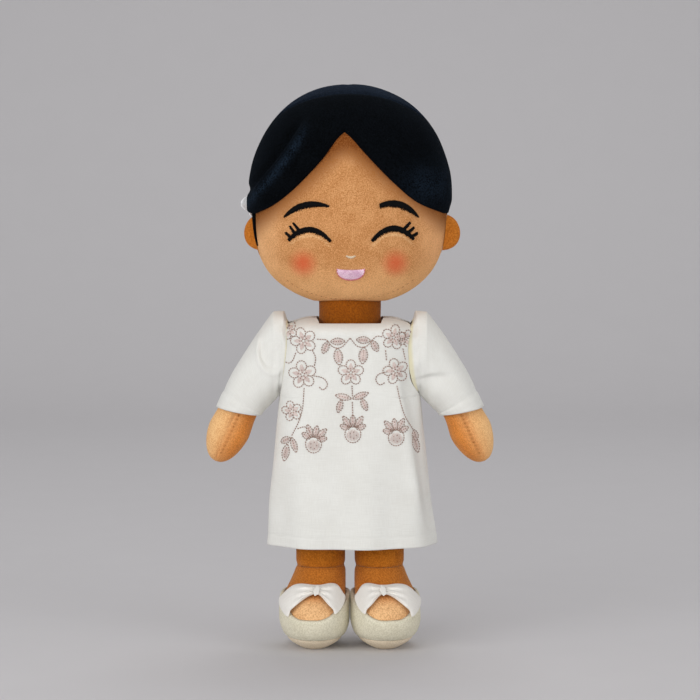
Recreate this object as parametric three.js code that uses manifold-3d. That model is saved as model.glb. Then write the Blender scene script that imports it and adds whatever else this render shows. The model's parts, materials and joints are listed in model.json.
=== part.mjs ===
// A soft cloth doll in a festival dress. Stuffed plush head, neck, torso, arms and legs are sewn together at
// soft seams. The doll wears a cotton dress with standing sleeve caps, bow shoes and a flower by a low bun.
// Millimetres, +Z up. The face looks along -Y, and the doll's own left hand is at +X.
import * as THREE from "three";
import { mergeVertices } from "three/addons/utils/BufferGeometryUtils.js";
import Module from "manifold-3d";

const wasm = await Module();
wasm.setup();

// Cloth thicknesses and clearances
const plushWall = 1.6; // pile fabric with its backing
const cottonWall = 0.8; // dress cloth
const feltWall = 1.4; // flower petals
const ribbonWall = 1.2; // shoe bows
const tapeWall = 0.8; // hook and loop tape
const threadHeight = 0.7; // embroidery above the face
const seamGap = 0.3; // between pieces that touch

// Feet, shoes and legs
const footHeight = 42.6; // floor to ankle seam
const footLength = 50;
const footWidth = 33.4;
const footForward = 9; // middle of the sole, in front of the leg
const soleThickness = 6.5; // padded sole, up to the welt seam
const soleEdge = 0.42; // share of the sole's width lost to its rounded edge
const shoeWall = 1.8;
const shoeFrontHeight = 19.5; // top line of the shoe at the toes
const shoeBackHeight = 35; // top line of the shoe at the heel
const legWidth = 26.6;
const legSpacing = 31.6; // between the two leg centres
const footSpacing = 38; // between the two foot centres
const legLength = 55.4; // ankle seam to hip pivot

// Bows on the shoes
const bowHeight = 32.4; // floor to the knot
const bowDrop = 10; // how far the wings come down at the sides
const bowReachOut = 66; // degrees round the foot to the outer wing's end
const bowReachIn = 52; // degrees round the foot to the inner wing's end
const bowWaist = 3.6; // ribbon width at the knot
const bowWidth = 10; // ribbon width at the wings
const knotWidth = 4.4;

// Torso and neck
const torsoHeight = 76.5; // hip pivot to shoulder
const torsoWidth = 71;
const torsoDepth = 43;
const seatRise = 5; // seat of the torso above the hip pivot
const shoulderWidth = 66.6; // between the flats that the arms are sewn to
const neckRadius = 16.5;
const neckLength = 8; // shoulder to the underside of the head
const neckInHead = 8; // length of neck tucked into the head

// Arms
const shoulderDrop = 18.5; // shoulder pivot below the shoulder top
const armReach = 39; // hand tip, out from the shoulder flat
const armDrop = 57.2; // hand tip, below the shoulder pivot
const armWidth = 20.6;
const armDepth = 19;
const armEndWidth = 18; // the sewn end at the shoulder
const handSwell = 0.1; // share by which the hand is fuller than the arm

// Dress
const hemHeight = 55;
const hemWidth = 90;
const hemDepth = 62;
const chestWidth = 74;
const chestDepth = 51;
const chestHeight = 140; // above this the dress goes straight up
const hemSquare = 2.3; // 2 is an ellipse, more is squarer
const chestSquare = 4;
const hemFold = 1.1; // depth of the soft folds at the hem
const hemFoldCount = 9;
const necklineWidth = 36.6;
const necklineDrop = 1.2; // front edge of the neckline below the shoulders
const shoulderRound = 7; // height of the rounding along the top of the dress
const shoulderSlope = 4; // how far that rounding goes in at the top
const closureLength = 62; // tape down the centre of the back
const closureWidth = 10;

// Sleeves
const armholeWidth = 68.6; // between the two armhole seams
const armholeRadius = 21;
const armholeDepth = 36.4;
const capRise = 24; // flat top of the sleeve cap above the shoulder pivot
const capWidth = 6.4; // width of the cap's flat top, out from the armhole
const sleeveBulge = 1.7; // outer line of the sleeve, out from a straight one
const cuffOut = 37.5; // outer end of the cuff, out from the armhole
const cuffWidth = 25.6;
const cuffDrop = 30; // middle of the cuff, below the shoulder pivot
const cuffTilt = 11; // degrees, outer end up
const cuffDepth = 26.5;
const cuffGather = 0.7; // depth of the gathers round the armhole
const cuffGatherCount = 8;

// Head
const headWidth = 103.4;
const headDepth = 79;
const headUpper = 58; // widest level to the top
const headLower = 57; // widest level to the underside
const crownSquare = 2.13; // 2 is round, more is squarer
const jawSquare = 3.2;
const faceSeam = 2; // side seam in front of the middle of the head
const earHeight = 19;
const earOut = 6.5; // ear beyond the side of the head
const earThickness = 8;
const earDrop = 18; // middle of the ear below the widest level

// Hair
const hairWall = 2.2;
const crownSeam = 14; // seam between front and back hair at the crown, in front of the middle
const crownTilt = 45; // degrees, how that seam slopes back down the head
const sideSeam = 8; // where it goes straight down behind the ears
const partRise = 35.5; // top of the forehead above the widest level
const partShift = -2.5; // centre parting, towards the doll's right
const hairlineSide = 7.5; // hairline at the sides, below the widest level
const napeDrop = 35; // hairline at the nape, below the widest level
const bunWidth = 40;
const bunHeight = 35;
const bunDepth = 27;
const bunDrop = 14; // middle of the bun below the widest level

// Flower behind the doll's right ear
const flowerAngle = 112; // degrees round the head from the face
const flowerDrop = 3; // below the widest level
const petalLength = 15;
const petalWidth = 9.5;
const petalCount = 5;
const flowerCentre = 7; // diameter of the bead in the middle

// Embroidered face, as seen from the front
const eyeSpacing = 43.4;
const eyeWidth = 22;
const eyeArch = 7.4;
const eyeDrop = 20.6; // ends of the eye arc below the widest level
const eyeThread = 2.5;
const lashLength = 4.6;
const browSpacing = 48;
const browWidth = 24;
const browArch = 6.8;
const browDrop = 8; // ends of the brow below the widest level
const browThread = 2.7;
const noseWidth = 4.6;
const noseDrop = 28.2;
const noseThread = 1.3;
const mouthWidth = 14.6;
const mouthHeight = 6;
const mouthDrop = 35.4;

// Levels and places that follow from the sizes above
const ankleZ = footHeight;
const hipZ = ankleZ + legLength;
const torsoTop = hipZ + torsoHeight;
const chinZ = torsoTop + neckLength;
const headZ = chinZ + headLower;
const neckTop = chinZ + neckInHead;
const shoulderZ = torsoTop - shoulderDrop;
const shoulderX = shoulderWidth / 2 + seamGap;
const armholeX = armholeWidth / 2;
const legRadius = legWidth / 2;
const dressTop = torsoTop + seamGap + cottonWall;
const reach = 1000; // far past the doll on every side

// Colours of the cloths
const cloth = (color, roughness) => new THREE.MeshStandardMaterial({ color, roughness, metalness: 0 });
const skinPlush = cloth(0xcc8e58, 0.9);
const hairPlush = cloth(0x12171d, 0.85);
const shoePlush = cloth(0xdcd8c2, 0.9);
const cotton = cloth(0xefeeea, 0.8);
const ribbon = cloth(0xf2f2ee, 0.6);
const felt = cloth(0xeceef0, 0.85);
const beadCotton = cloth(0xe6d9b0, 0.8);
const stuffing = cloth(0xf4f2ec, 1);
const tapeNylon = cloth(0xe9e9e6, 0.7);
const blackThread = cloth(0x14120f, 0.6);
const noseThreadColour = cloth(0xd8c3a2, 0.6);
const mouthThread = cloth(0xd9b0c6, 0.6);

const { lerp, smoothstep, degToRad } = THREE.MathUtils;
const point = (x, y, z) => new THREE.Vector3(x, y, z);

// Solids: a three.js geometry becomes a solid for joining and cutting, and a geometry again at the end.
// A form that a mirrored map has turned inside out is turned back.
function solidOf(geometry) {
  const bare = geometry.clone();
  bare.deleteAttribute("normal");
  bare.deleteAttribute("uv");
  const merged = mergeVertices(bare, 1e-4);
  const places = new Float32Array(merged.attributes.position.array);
  const corners = merged.index.array;
  const outward = [];
  const inward = [];
  for (let i = 0; i < corners.length; i += 3) {
    const [a, b, c] = [corners[i], corners[i + 1], corners[i + 2]];
    if (a === b || b === c || c === a) continue;
    outward.push(a, b, c);
    inward.push(a, c, b);
  }
  const build = (list) => {
    const triVerts = new Uint32Array(list);
    return new wasm.Manifold(new wasm.Mesh({ numProp: 3, vertProperties: places, triVerts }));
  };
  const solid = build(outward);
  return solid.volume() > 0 ? solid : build(inward);
}

function geometryOf(solid) {
  const mesh = solid.getMesh();
  const geometry = new THREE.BufferGeometry();
  geometry.setAttribute("position", new THREE.BufferAttribute(new Float32Array(mesh.vertProperties), 3));
  geometry.setIndex(new THREE.BufferAttribute(new Uint32Array(mesh.triVerts), 1));
  geometry.computeVertexNormals();
  return geometry;
}

const cut = (solid, ...tools) => tools.reduce((left, tool) => left.subtract(tool), solid);
const join = (first, ...rest) => rest.reduce((all, one) => all.add(one), first);

// Moves every vertex of a geometry to where the map sends it.
function bent(geometry, map) {
  const places = geometry.attributes.position;
  const from = new THREE.Vector3();
  for (let i = 0; i < places.count; i++) {
    from.fromBufferAttribute(places, i);
    const to = map(from);
    places.setXYZ(i, to.x, to.y, to.z);
  }
  return geometry;
}

// A box between two levels on one axis, used to keep one side of a seam.
function slab(axis, low, high) {
  const middle = point(0, 0, 0);
  const size = point(2 * reach, 2 * reach, 2 * reach);
  size[axis] = high - low;
  middle[axis] = (low + high) / 2;
  return solidOf(new THREE.BoxGeometry(size.x, size.y, size.z).translate(middle.x, middle.y, middle.z));
}

const above = (axis, level) => slab(axis, level, level + reach);
const below = (axis, level) => slab(axis, level - reach, level);

function rod(axis, radius, low, high, middle, sides = 32) {
  const geometry = new THREE.CylinderGeometry(radius, radius, high - low, sides);
  geometry.translate(0, (low + high) / 2, 0);
  if (axis === "x") geometry.rotateZ(-Math.PI / 2);
  if (axis === "z") geometry.rotateX(Math.PI / 2);
  return solidOf(geometry.translate(middle.x, middle.y, middle.z));
}

function ball(radius, centre, sides = 20) {
  return solidOf(new THREE.SphereGeometry(radius, sides, sides / 2).translate(centre.x, centre.y, centre.z));
}

// A stuffed form: an elliptical section carried through a list of rings, closed flat at both ends.
// A ring is its centre and the two half axes of its section. The section squares up as "square" passes 2.
function swept(rings, sides, ripple = () => 0) {
  const last = rings.length - 1;
  const profile = [new THREE.Vector2(0, 0)];
  rings.forEach((_, i) => profile.push(new THREE.Vector2(1, i)));
  profile.push(new THREE.Vector2(0, last));
  return solidOf(laidOnRings(new THREE.LatheGeometry(profile, sides), rings, ripple));
}

// A cloth tube, open at both ends: out along the outer rings and back along the inner ones.
function tube(outer, inner, sides, ripple) {
  const rings = [...outer, ...[...inner].reverse(), outer[0]];
  const profile = rings.map((_, i) => new THREE.Vector2(1, i));
  return solidOf(laidOnRings(new THREE.LatheGeometry(profile, sides), rings, ripple));
}

function laidOnRings(lathe, rings, ripple) {
  return bent(lathe, (p) => {
    const { centre, width, depth, square = 2 } = rings[Math.round(p.y)];
    const boxy = (Math.abs(p.x) ** square + Math.abs(p.z) ** square) ** (-1 / square) || 0;
    const rippled = 1 + ripple(Math.atan2(p.z, p.x), rings[Math.round(p.y)]);
    const spread = Math.hypot(p.x, p.z) > 0.5 ? boxy * rippled : 0;
    return centre
      .clone()
      .addScaledVector(width, p.x * spread)
      .addScaledVector(depth, p.z * spread);
  });
}

const ring = (x, y, z, halfWidth, halfDepth) => ({
  centre: point(x, y, z),
  width: point(halfWidth, 0, 0),
  depth: point(0, halfDepth, 0),
});

const steps = (count) => Array.from({ length: count + 1 }, (_, i) => i / count);

// Named meshes, and groups that turn about their joint
function piece(name, solid, material) {
  const mesh = new THREE.Mesh(geometryOf(solid), material);
  mesh.name = name;
  return mesh;
}

function jointed(pivot, meshes) {
  const group = new THREE.Group();
  group.position.copy(pivot);
  for (const mesh of meshes) {
    mesh.position.sub(pivot);
    group.add(mesh);
  }
  return group;
}

// Foot: widest just above the sole, drawn in and back to the ankle.
function footSize(z) {
  const t = z / footHeight;
  const drawn = smoothstep(t, 0.56, 1.02);
  const sloped = smoothstep(t, 0.38, 1.02);
  const edge = 1 - soleEdge * Math.max(0, 1 - t / 0.25) ** 2;
  return {
    x: lerp(footSpacing, legSpacing, drawn) / 2,
    y: -lerp(footForward, 0, sloped),
    halfWidth: (lerp(footWidth, legWidth, drawn) / 2) * edge,
    halfLength: (lerp(footLength, legWidth, sloped) / 2) * edge,
  };
}

const footRings = (side, grow) =>
  steps(9).map((t) => {
    const at = footSize(t * footHeight);
    return ring(side * at.x, at.y, t * footHeight, at.halfWidth + grow, at.halfLength + grow);
  });

// Leg: an even tube that ends in a dome round the hip pivot.
function legRings(side, grow) {
  const radius = legRadius + grow;
  const x = (side * legSpacing) / 2;
  const tubeRings = [0.35, 0.7].map((t) => ring(x, 0, lerp(ankleZ, hipZ, t), radius, radius));
  const dome = [0, 27, 52, 80].map((angle) => {
    const across = radius * Math.cos(degToRad(angle));
    return ring(x, 0, hipZ + radius * Math.sin(degToRad(angle)), across, across);
  });
  return [...tubeRings, ...dome];
}

const legForm = (side, grow, sides) => swept([...footRings(side, grow), ...legRings(side, grow)], sides);

const shoeForm = (side) => swept(footRings(side, shoeWall), 18);

// A point on the foot, at an angle round from the toes and a distance off the surface.
function onFoot(side, angle, z, off) {
  const at = footSize(z);
  return point(
    side * at.x + (at.halfWidth + off) * Math.sin(angle),
    at.y - (at.halfLength + off) * Math.cos(angle),
    z,
  );
}

function leg(side, name) {
  const footFloor = soleThickness + seamGap;
  const outside = legForm(side, 0, 14).intersect(above("z", footFloor));
  const hollow = legForm(side, -plushWall, 8).intersect(above("z", footFloor + plushWall));
  const fill = legForm(side, -plushWall - seamGap, 8).intersect(above("z", footFloor + plushWall + seamGap));
  const skin = cut(outside, hollow);

  // The top line of the shoe slopes up from the toes to the heel.
  const toe = -footForward - footLength / 2;
  const slope = Math.atan2(shoeBackHeight - shoeFrontHeight, footLength);
  const openTop = solidOf(
    new THREE.BoxGeometry(reach, reach, reach)
      .translate(0, 0, reach / 2)
      .rotateX(slope)
      .translate(0, toe, shoeFrontHeight),
  );
  const shoeShell = cut(shoeForm(side), swept(footRings(side, seamGap), 14), openTop, below("z", footFloor));

  // The ribbon goes over the instep, narrow at the knot and wide at the wings.
  const ribbonOff = shoeWall + 2 * seamGap;
  const ribbonAt = (share, across, off) => {
    const width = lerp(bowWaist, bowWidth, smoothstep(Math.abs(share), 0.05, 0.7));
    const z = bowHeight - bowDrop * share ** 2 + (across * width) / 2;
    return onFoot(side, side * share * degToRad(share > 0 ? bowReachOut : bowReachIn), z, off);
  };
  const bow = solidOf(
    bent(new THREE.BoxGeometry(2, ribbonWall, 2, 16, 1, 2), (p) =>
      ribbonAt(p.x, p.z, ribbonOff + ribbonWall / 2 - p.y),
    ),
  );
  const knotOff = ribbonOff + ribbonWall + seamGap; // inner face of the knot
  const knot = solidOf(
    bent(new THREE.SphereGeometry(1, 8, 6), (p) =>
      onFoot(
        side,
        (p.x * knotWidth) / footWidth,
        bowHeight + (p.z * bowWaist) / 1.6,
        knotOff + (1 - p.y) * ribbonWall,
      ),
    ),
  );

  return jointed(point(0, 0, hipZ), [
    piece(`leg_skin_${name}`, skin.intersect(above("z", ankleZ + seamGap / 2)), skinPlush),
    piece(`foot_skin_${name}`, skin.intersect(below("z", ankleZ - seamGap / 2)), skinPlush),
    piece(`leg_stuffing_${name}`, fill, stuffing),
    piece(`shoe_upper_${name}`, shoeShell, shoePlush),
    piece(`shoe_sole_${name}`, shoeForm(side).intersect(below("z", soleThickness)), shoePlush),
    piece(`shoe_bow_${name}`, bow, ribbon),
    piece(`bow_knot_${name}`, knot, ribbon),
  ]);
}

// Torso: a pillow with flats at the shoulders, hollowed below for the legs and above for the neck.
function torsoForm(grow, sides) {
  const rings = steps(6).map((t) => {
    const out = 2 * t - 1;
    const halfWidth = (torsoWidth / 2) * (1 - 0.12 * out ** 2) + grow;
    const halfDepth = (torsoDepth / 2) * (1 - 0.2 * out ** 4) + grow;
    return ring(0, 0, lerp(hipZ - legRadius, torsoTop + grow, t), halfWidth, halfDepth);
  });
  const halfShoulder = shoulderWidth / 2 + grow;
  return swept(rings, sides).intersect(slab("x", -halfShoulder, halfShoulder));
}

// The legs swing under the belly, so the torso keeps clear of that sweep.
function hipClearance(gap) {
  const radius = legRadius + gap;
  const axle = rod("x", radius, -reach, reach, point(0, 0, hipZ), 24);
  return join(axle, below("z", hipZ + radius).intersect(below("y", 0)), below("z", hipZ + seatRise + gap));
}

const neckPivot = point(0, 0, torsoTop);

function torso() {
  const socket = ball(neckRadius + 2 * seamGap, neckPivot);
  const hips = hipClearance(seamGap);
  const hollow = cut(torsoForm(-plushWall, 12), hipClearance(seamGap + plushWall));
  const fill = cut(torsoForm(-plushWall - seamGap, 12), hipClearance(2 * seamGap + plushWall), socket);
  return [
    piece("torso_skin", cut(torsoForm(0, 20), hips, hollow, socket), skinPlush),
    piece("torso_stuffing", fill, stuffing),
  ];
}

// Neck: a round post, with a ball end in the torso and its open top inside the head.
function neckForm(grow, top) {
  const radius = neckRadius + grow;
  const dome = [-80, -52, -26].map((angle) => {
    const across = radius * Math.cos(degToRad(angle));
    return ring(0, 0, torsoTop + radius * Math.sin(degToRad(angle)), across, across);
  });
  return swept([...dome, ring(0, 0, torsoTop, radius, radius), ring(0, 0, top, radius, radius)], 16);
}

function neck() {
  return [
    piece("neck_skin", cut(neckForm(0, neckTop), neckForm(-plushWall, neckTop + reach)), skinPlush),
    piece("neck_stuffing", neckForm(-plushWall - seamGap, neckTop), stuffing),
  ];
}

// Arm: a tapered pad that leaves the shoulder sideways and curves down to a round hand.
function armForm(side, grow, start, sides) {
  const path = new THREE.CubicBezierCurve(
    new THREE.Vector2(shoulderX + start, shoulderZ),
    new THREE.Vector2(shoulderX + armReach * 0.44, shoulderZ),
    new THREE.Vector2(shoulderX + armReach * 0.63, shoulderZ - armDrop * 0.5),
    new THREE.Vector2(shoulderX + armReach, shoulderZ - armDrop - grow),
  );
  const palm = 0.78;
  const shares = [0, 0.15, 0.3, 0.5, 0.68, palm, 0.87, 0.94, 0.98, 0.997];
  const rings = shares.map((t) => {
    const at = path.getPoint(t);
    const along = path.getTangent(t);
    const rounding = t > palm ? Math.sqrt(1 - ((t - palm) / (1 - palm)) ** 2) : 1;
    const swell = 1 + handSwell * smoothstep(t, 0.68, 0.82);
    const filling = lerp(armEndWidth / armWidth, swell, smoothstep(t, 0, 0.35)) * rounding;
    const half = (armWidth / 2 + grow) * filling;
    return {
      centre: point(side * at.x, 0, at.y),
      width: point(-along.y * side, 0, along.x).multiplyScalar(half),
      depth: point(0, (armDepth / 2 + grow) * filling, 0),
    };
  });
  return swept(rings, sides);
}

// Sleeve: a wide armhole with a standing cap, narrowing to a flat cuff above the hand.
function sleeveRings(side, wall) {
  const startX = armholeX + seamGap;
  const tilt = degToRad(cuffTilt);
  const cuffHalf = cuffWidth / 2;
  const cuffMiddle = new THREE.Vector2(armholeX + cuffOut - cuffHalf * Math.cos(tilt), shoulderZ - cuffDrop);
  const cuffEnd = new THREE.Vector2(cuffHalf * Math.cos(tilt), cuffHalf * Math.sin(tilt));
  const outerCuff = cuffMiddle.clone().add(cuffEnd);
  const capCorner = new THREE.Vector2(startX + capWidth, shoulderZ + capRise);
  const bulge = new THREE.Vector2(sleeveBulge, sleeveBulge / 2);
  const upper = new THREE.SplineCurve([
    new THREE.Vector2(startX, shoulderZ + armholeRadius),
    new THREE.Vector2(startX + capWidth * 0.25, shoulderZ + capRise),
    capCorner,
    capCorner.clone().lerp(outerCuff, 0.33).add(bulge),
    capCorner.clone().lerp(outerCuff, 0.67).add(bulge),
    outerCuff,
  ]);
  const lower = new THREE.QuadraticBezierCurve(
    new THREE.Vector2(startX, shoulderZ - armholeRadius),
    new THREE.Vector2(startX + 0.32 * cuffOut, shoulderZ - armholeRadius * 0.93),
    cuffMiddle.clone().sub(cuffEnd),
  );
  return [0, 0.1, 0.2, 0.3, 0.4, 0.6, 0.8, 1].map((t) => {
    const high = upper.getPoint(t);
    const low = lower.getPoint(t);
    const half = high.clone().sub(low).multiplyScalar(0.5);
    half.setLength(half.length() - wall);
    const middle = high.add(low).multiplyScalar(0.5);
    return {
      centre: point(side * middle.x, 0, middle.y),
      width: point(side * half.x, 0, half.y),
      depth: point(0, lerp(armholeDepth, cuffDepth, t) / 2 - wall, 0),
      gather: 1 - t,
    };
  });
}

function sleeve(side) {
  const depth = cuffGather / armholeRadius;
  const ripple = (angle, at) => depth * at.gather * Math.cos(cuffGatherCount * angle);
  return tube(sleeveRings(side, 0), sleeveRings(side, cottonWall), 20, ripple);
}

function arm(side, name) {
  const hollow = armForm(side, -plushWall, -plushWall, 8);
  const outer = side > 0 ? above("x", shoulderX) : below("x", -shoulderX);
  const fill = armForm(side, -plushWall - seamGap, -plushWall, 8).intersect(outer);
  return jointed(point(0, 0, shoulderZ), [
    piece(`arm_skin_${name}`, cut(armForm(side, 0, 0, 16), hollow), skinPlush),
    piece(`arm_stuffing_${name}`, fill, stuffing),
    piece(`sleeve_${name}`, sleeve(side), cotton),
  ]);
}

// Dress: flares evenly from the chest to the hem, with soft folds that fade out at the chest.
function dressSize(z) {
  const t = THREE.MathUtils.clamp((z - hemHeight) / (chestHeight - hemHeight), 0, 1);
  return {
    halfWidth: lerp(hemWidth, chestWidth, t) / 2,
    halfDepth: lerp(hemDepth, chestDepth, t) / 2,
    square: lerp(hemSquare, chestSquare, t),
    fold: (hemFold * (1 - t)) / (hemWidth / 2),
  };
}

function dressForm(grow, low, high) {
  const levels = [low, ...steps(5).map((t) => lerp(hemHeight, chestHeight, t)).slice(1)];
  const shoulders = steps(3).map((t) => high - shoulderRound * (1 - t));
  const rings = [...levels, ...shoulders].map((z) => {
    const at = dressSize(z);
    const roundedOff = shoulderSlope * Math.max(0, 1 - (high - z) / shoulderRound) ** 2;
    return {
      ...ring(0, 0, z, at.halfWidth + grow, at.halfDepth + grow - roundedOff),
      square: at.square,
      fold: at.fold,
    };
  });
  return swept(rings, 36, (angle, at) => at.fold * Math.cos(hemFoldCount * angle));
}

// A strip of tape under the dress at the centre of the back, between two distances in from the cloth.
function tape(left, right, outer, inner) {
  const top = dressTop - cottonWall - shoulderRound;
  return solidOf(
    bent(new THREE.BoxGeometry(1, 1, 1, 6, 1, 6), (p) => {
      const z = top - closureLength * (0.5 - p.z);
      const at = dressSize(z);
      const x = lerp(left, right, p.x + 0.5);
      const off = lerp(outer, inner, 0.5 - p.y) + cottonWall;
      const round = (1 - Math.abs(x / (at.halfWidth - off)) ** at.square) ** (1 / at.square);
      return point(x, (at.halfDepth - off) * round * Math.cos(Math.PI / 36), z);
    }),
  );
}

function dress() {
  const shell = cut(
    dressForm(0, hemHeight, dressTop),
    dressForm(-cottonWall, hemHeight - reach, dressTop - cottonWall),
  );
  const neckline = join(
    solidOf(
      new THREE.BoxGeometry(necklineWidth, necklineWidth, reach).translate(0, 0, torsoTop + reach / 2),
    ),
    solidOf(
      new THREE.BoxGeometry(necklineWidth, reach, reach).translate(
        0,
        -reach / 2,
        dressTop - necklineDrop + reach / 2,
      ),
    ),
  );
  const armholes = [1, -1].map((side) => {
    const low = side > 0 ? armholeX : -reach;
    return rod("x", armholeRadius + 3 * seamGap, low, low + reach - armholeX, point(0, 0, shoulderZ), 32);
  });
  const sides = [1, -1].map((side) =>
    slab("x", side > 0 ? armholeX : -reach, side > 0 ? reach : -armholeX).intersect(
      above("z", shoulderZ - armholeRadius * 0.92),
    ),
  );
  const cutOut = cut(shell, neckline, ...armholes, ...sides);
  const front = cutOut.intersect(below("y", -seamGap / 2));
  const back = cutOut.intersect(above("y", seamGap / 2));
  const loopOut = seamGap;
  const hookOut = loopOut + tapeWall + seamGap;
  return [
    piece("dress_front", front, cotton),
    piece("dress_back_left", back.intersect(above("x", seamGap / 2)), cotton),
    piece("dress_back_right", back.intersect(below("x", -seamGap / 2)), cotton),
    piece("closure_loop_tape", tape(-closureWidth, -seamGap, loopOut, loopOut + tapeWall), tapeNylon),
    piece("closure_hook_tape", tape(-closureWidth, closureWidth, hookOut, hookOut + tapeWall), tapeNylon),
  ];
}

// Head: an egg, deeper above its widest level than below. The hair and the face threads follow it outwards.
function headForm(grow, sides = 26, rows = 14) {
  return solidOf(
    bent(new THREE.SphereGeometry(1, sides, rows).rotateX(Math.PI / 2), (p) => {
      const round = Math.hypot(p.x, p.y);
      const crown = (round ** crownSquare + Math.abs(p.z) ** crownSquare) ** (-1 / crownSquare);
      const boxy = p.z > 0 ? crown : 1;
      const jaw = -(Math.max(-p.z, 0) ** (2 / jawSquare)) * (headLower + grow);
      const level = p.z > 0 ? crown * p.z * (headUpper + grow) : jaw;
      return point(boxy * p.x * (headWidth / 2 + grow), boxy * p.y * (headDepth / 2 + grow), headZ + level);
    }),
  );
}

// A front view outline carried back through the head.
function throughFace(shape, depth = reach) {
  const geometry = new THREE.ExtrudeGeometry(shape, { depth, bevelEnabled: false, curveSegments: 8 });
  return solidOf(geometry.rotateX(Math.PI / 2).translate(0, 0, headZ));
}

// A band of even thread along a curve in the front view, drawn in at its ends.
function bandShape(curve, width, endShare, count = 8) {
  const edge = (side) =>
    steps(count).map((t) => {
      const at = curve.getPoint(t);
      const along = curve.getTangent(t);
      const half = (width / 2) * lerp(endShare, 1, Math.sin(Math.PI * t) ** 0.6);
      return new THREE.Vector2(at.x - along.y * half * side, at.y + along.x * half * side);
    });
  return new THREE.Shape([...edge(1), ...edge(-1).reverse()]);
}

const arch = (left, right, level, rise) =>
  new THREE.QuadraticBezierCurve(
    new THREE.Vector2(left, level),
    new THREE.Vector2((left + right) / 2, level + 2 * rise),
    new THREE.Vector2(right, level),
  );

function face() {
  const threads = cut(headForm(seamGap + threadHeight), headForm(seamGap));
  const stitched = (solid) => solid.intersect(threads);

  const eye = (side) => {
    const curve = arch(
      side * (eyeSpacing - eyeWidth) * 0.5,
      side * (eyeSpacing + eyeWidth) * 0.5,
      -eyeDrop,
      eyeArch,
    );
    const lashes = [0.72, 0.85, 0.97].map((t) => {
      const root = curve.getPoint(t);
      const tip = root.clone().add(new THREE.Vector2(side * lashLength * 0.62, lashLength * 0.78));
      return throughFace(bandShape(new THREE.LineCurve(root, tip), eyeThread * 0.55, 0.7, 2));
    });
    return join(throughFace(bandShape(curve, eyeThread, 0.55)), ...lashes);
  };
  const brow = (side) =>
    throughFace(
      bandShape(
        arch(
          side * (browSpacing - browWidth) * 0.5,
          side * (browSpacing + browWidth) * 0.5,
          -browDrop,
          browArch,
        ),
        browThread,
        0.35,
      ),
    );
  const nose = throughFace(
    bandShape(arch(-noseWidth / 2, noseWidth / 2, -noseDrop, -noseWidth / 6), noseThread, 0.6, 4),
  );
  const smile = new THREE.Shape();
  smile.moveTo(-mouthWidth / 2, -mouthDrop);
  smile.quadraticCurveTo(-mouthWidth / 2.4, -mouthDrop - mouthHeight, 0, -mouthDrop - mouthHeight);
  smile.quadraticCurveTo(mouthWidth / 2.4, -mouthDrop - mouthHeight, mouthWidth / 2, -mouthDrop);

  return [
    piece("eye_left", stitched(eye(1)), blackThread),
    piece("eye_right", stitched(eye(-1)), blackThread),
    piece("brow_left", stitched(brow(1)), blackThread),
    piece("brow_right", stitched(brow(-1)), blackThread),
    piece("nose_stitch", stitched(nose), noseThreadColour),
    piece("mouth_patch", stitched(throughFace(smile)), mouthThread),
  ];
}

// Everything behind the seam between the front and the back hair.
function behindCrown(gap) {
  const slope = new THREE.BoxGeometry(2 * reach, reach, 2 * reach)
    .translate(0, reach / 2, 0)
    .rotateX(degToRad(crownTilt))
    .translate(0, gap - crownSeam, headZ + headUpper);
  return join(solidOf(slope), above("y", sideSeam + gap));
}

// The hairline at the back runs down from behind the ears to the nape.
function belowHairline() {
  const run = headDepth / 2 - sideSeam;
  const slope = Math.atan2(hairlineSide - napeDrop, run);
  return solidOf(
    new THREE.BoxGeometry(2 * reach, 2 * reach, reach)
      .translate(0, 0, -reach / 2)
      .rotateX(slope)
      .translate(0, sideSeam, headZ - hairlineSide),
  );
}

function head() {
  const neckHole = rod("z", neckRadius + seamGap, chinZ - reach, neckTop + seamGap, point(0, 0, 0), 20);
  const skin = cut(headForm(0), headForm(-plushWall, 16, 10), neckHole);
  const fill = cut(headForm(-plushWall - seamGap, 16, 10), neckHole);

  const ear = (side) => {
    const pad = new THREE.SphereGeometry(1, 10, 8);
    pad.scale(earHeight / 2, earThickness / 2, earHeight / 2);
    pad.translate(side * (headWidth / 2 + earOut - earHeight / 2), -faceSeam, headZ - earDrop);
    return cut(solidOf(pad), headForm(seamGap)).intersect(
      below("z", headZ - hairlineSide - 2 * seamGap),
    );
  };

  return [
    piece("face_panel", skin.intersect(below("y", -faceSeam - seamGap / 2)), skinPlush),
    piece("head_back_panel", skin.intersect(above("y", -faceSeam + seamGap / 2)), skinPlush),
    piece("head_stuffing", fill, stuffing),
    piece("ear_left", ear(1), skinPlush),
    piece("ear_right", ear(-1), skinPlush),
  ];
}

function hair() {
  const cap = cut(headForm(seamGap + hairWall), headForm(seamGap));

  // The forehead shows under two sweeps of hair that meet at the parting.
  const side = headWidth / 2 + 2 * hairWall;
  const forehead = new THREE.Shape();
  forehead.moveTo(-side, -hairlineSide);
  forehead.quadraticCurveTo(-headWidth / 5, partRise / 3.2, partShift, partRise);
  forehead.quadraticCurveTo(headWidth / 5, partRise / 3.2, side, -hairlineSide);
  forehead.lineTo(side, -reach / 4);
  forehead.lineTo(-side, -reach / 4);
  const low = below("z", headZ - hairlineSide);
  const front = cut(cap, behindCrown(-seamGap / 2), throughFace(forehead), low);
  const back = cut(cap.intersect(behindCrown(seamGap / 2)), belowHairline());

  const bun = new THREE.SphereGeometry(1, 16, 10);
  bun.scale(bunWidth / 2, bunDepth / 2, bunHeight / 2);
  bun.translate(0, headDepth / 2 + hairWall + bunDepth / 4, headZ - bunDrop);

  return [
    piece("hair_front_left", front.intersect(above("x", partShift + seamGap / 2)), hairPlush),
    piece("hair_front_right", front.intersect(below("x", partShift - seamGap / 2)), hairPlush),
    piece("hair_back", back, hairPlush),
    piece("hair_bun", cut(solidOf(bun), headForm(hairWall + 2 * seamGap)), hairPlush),
  ];
}

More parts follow.
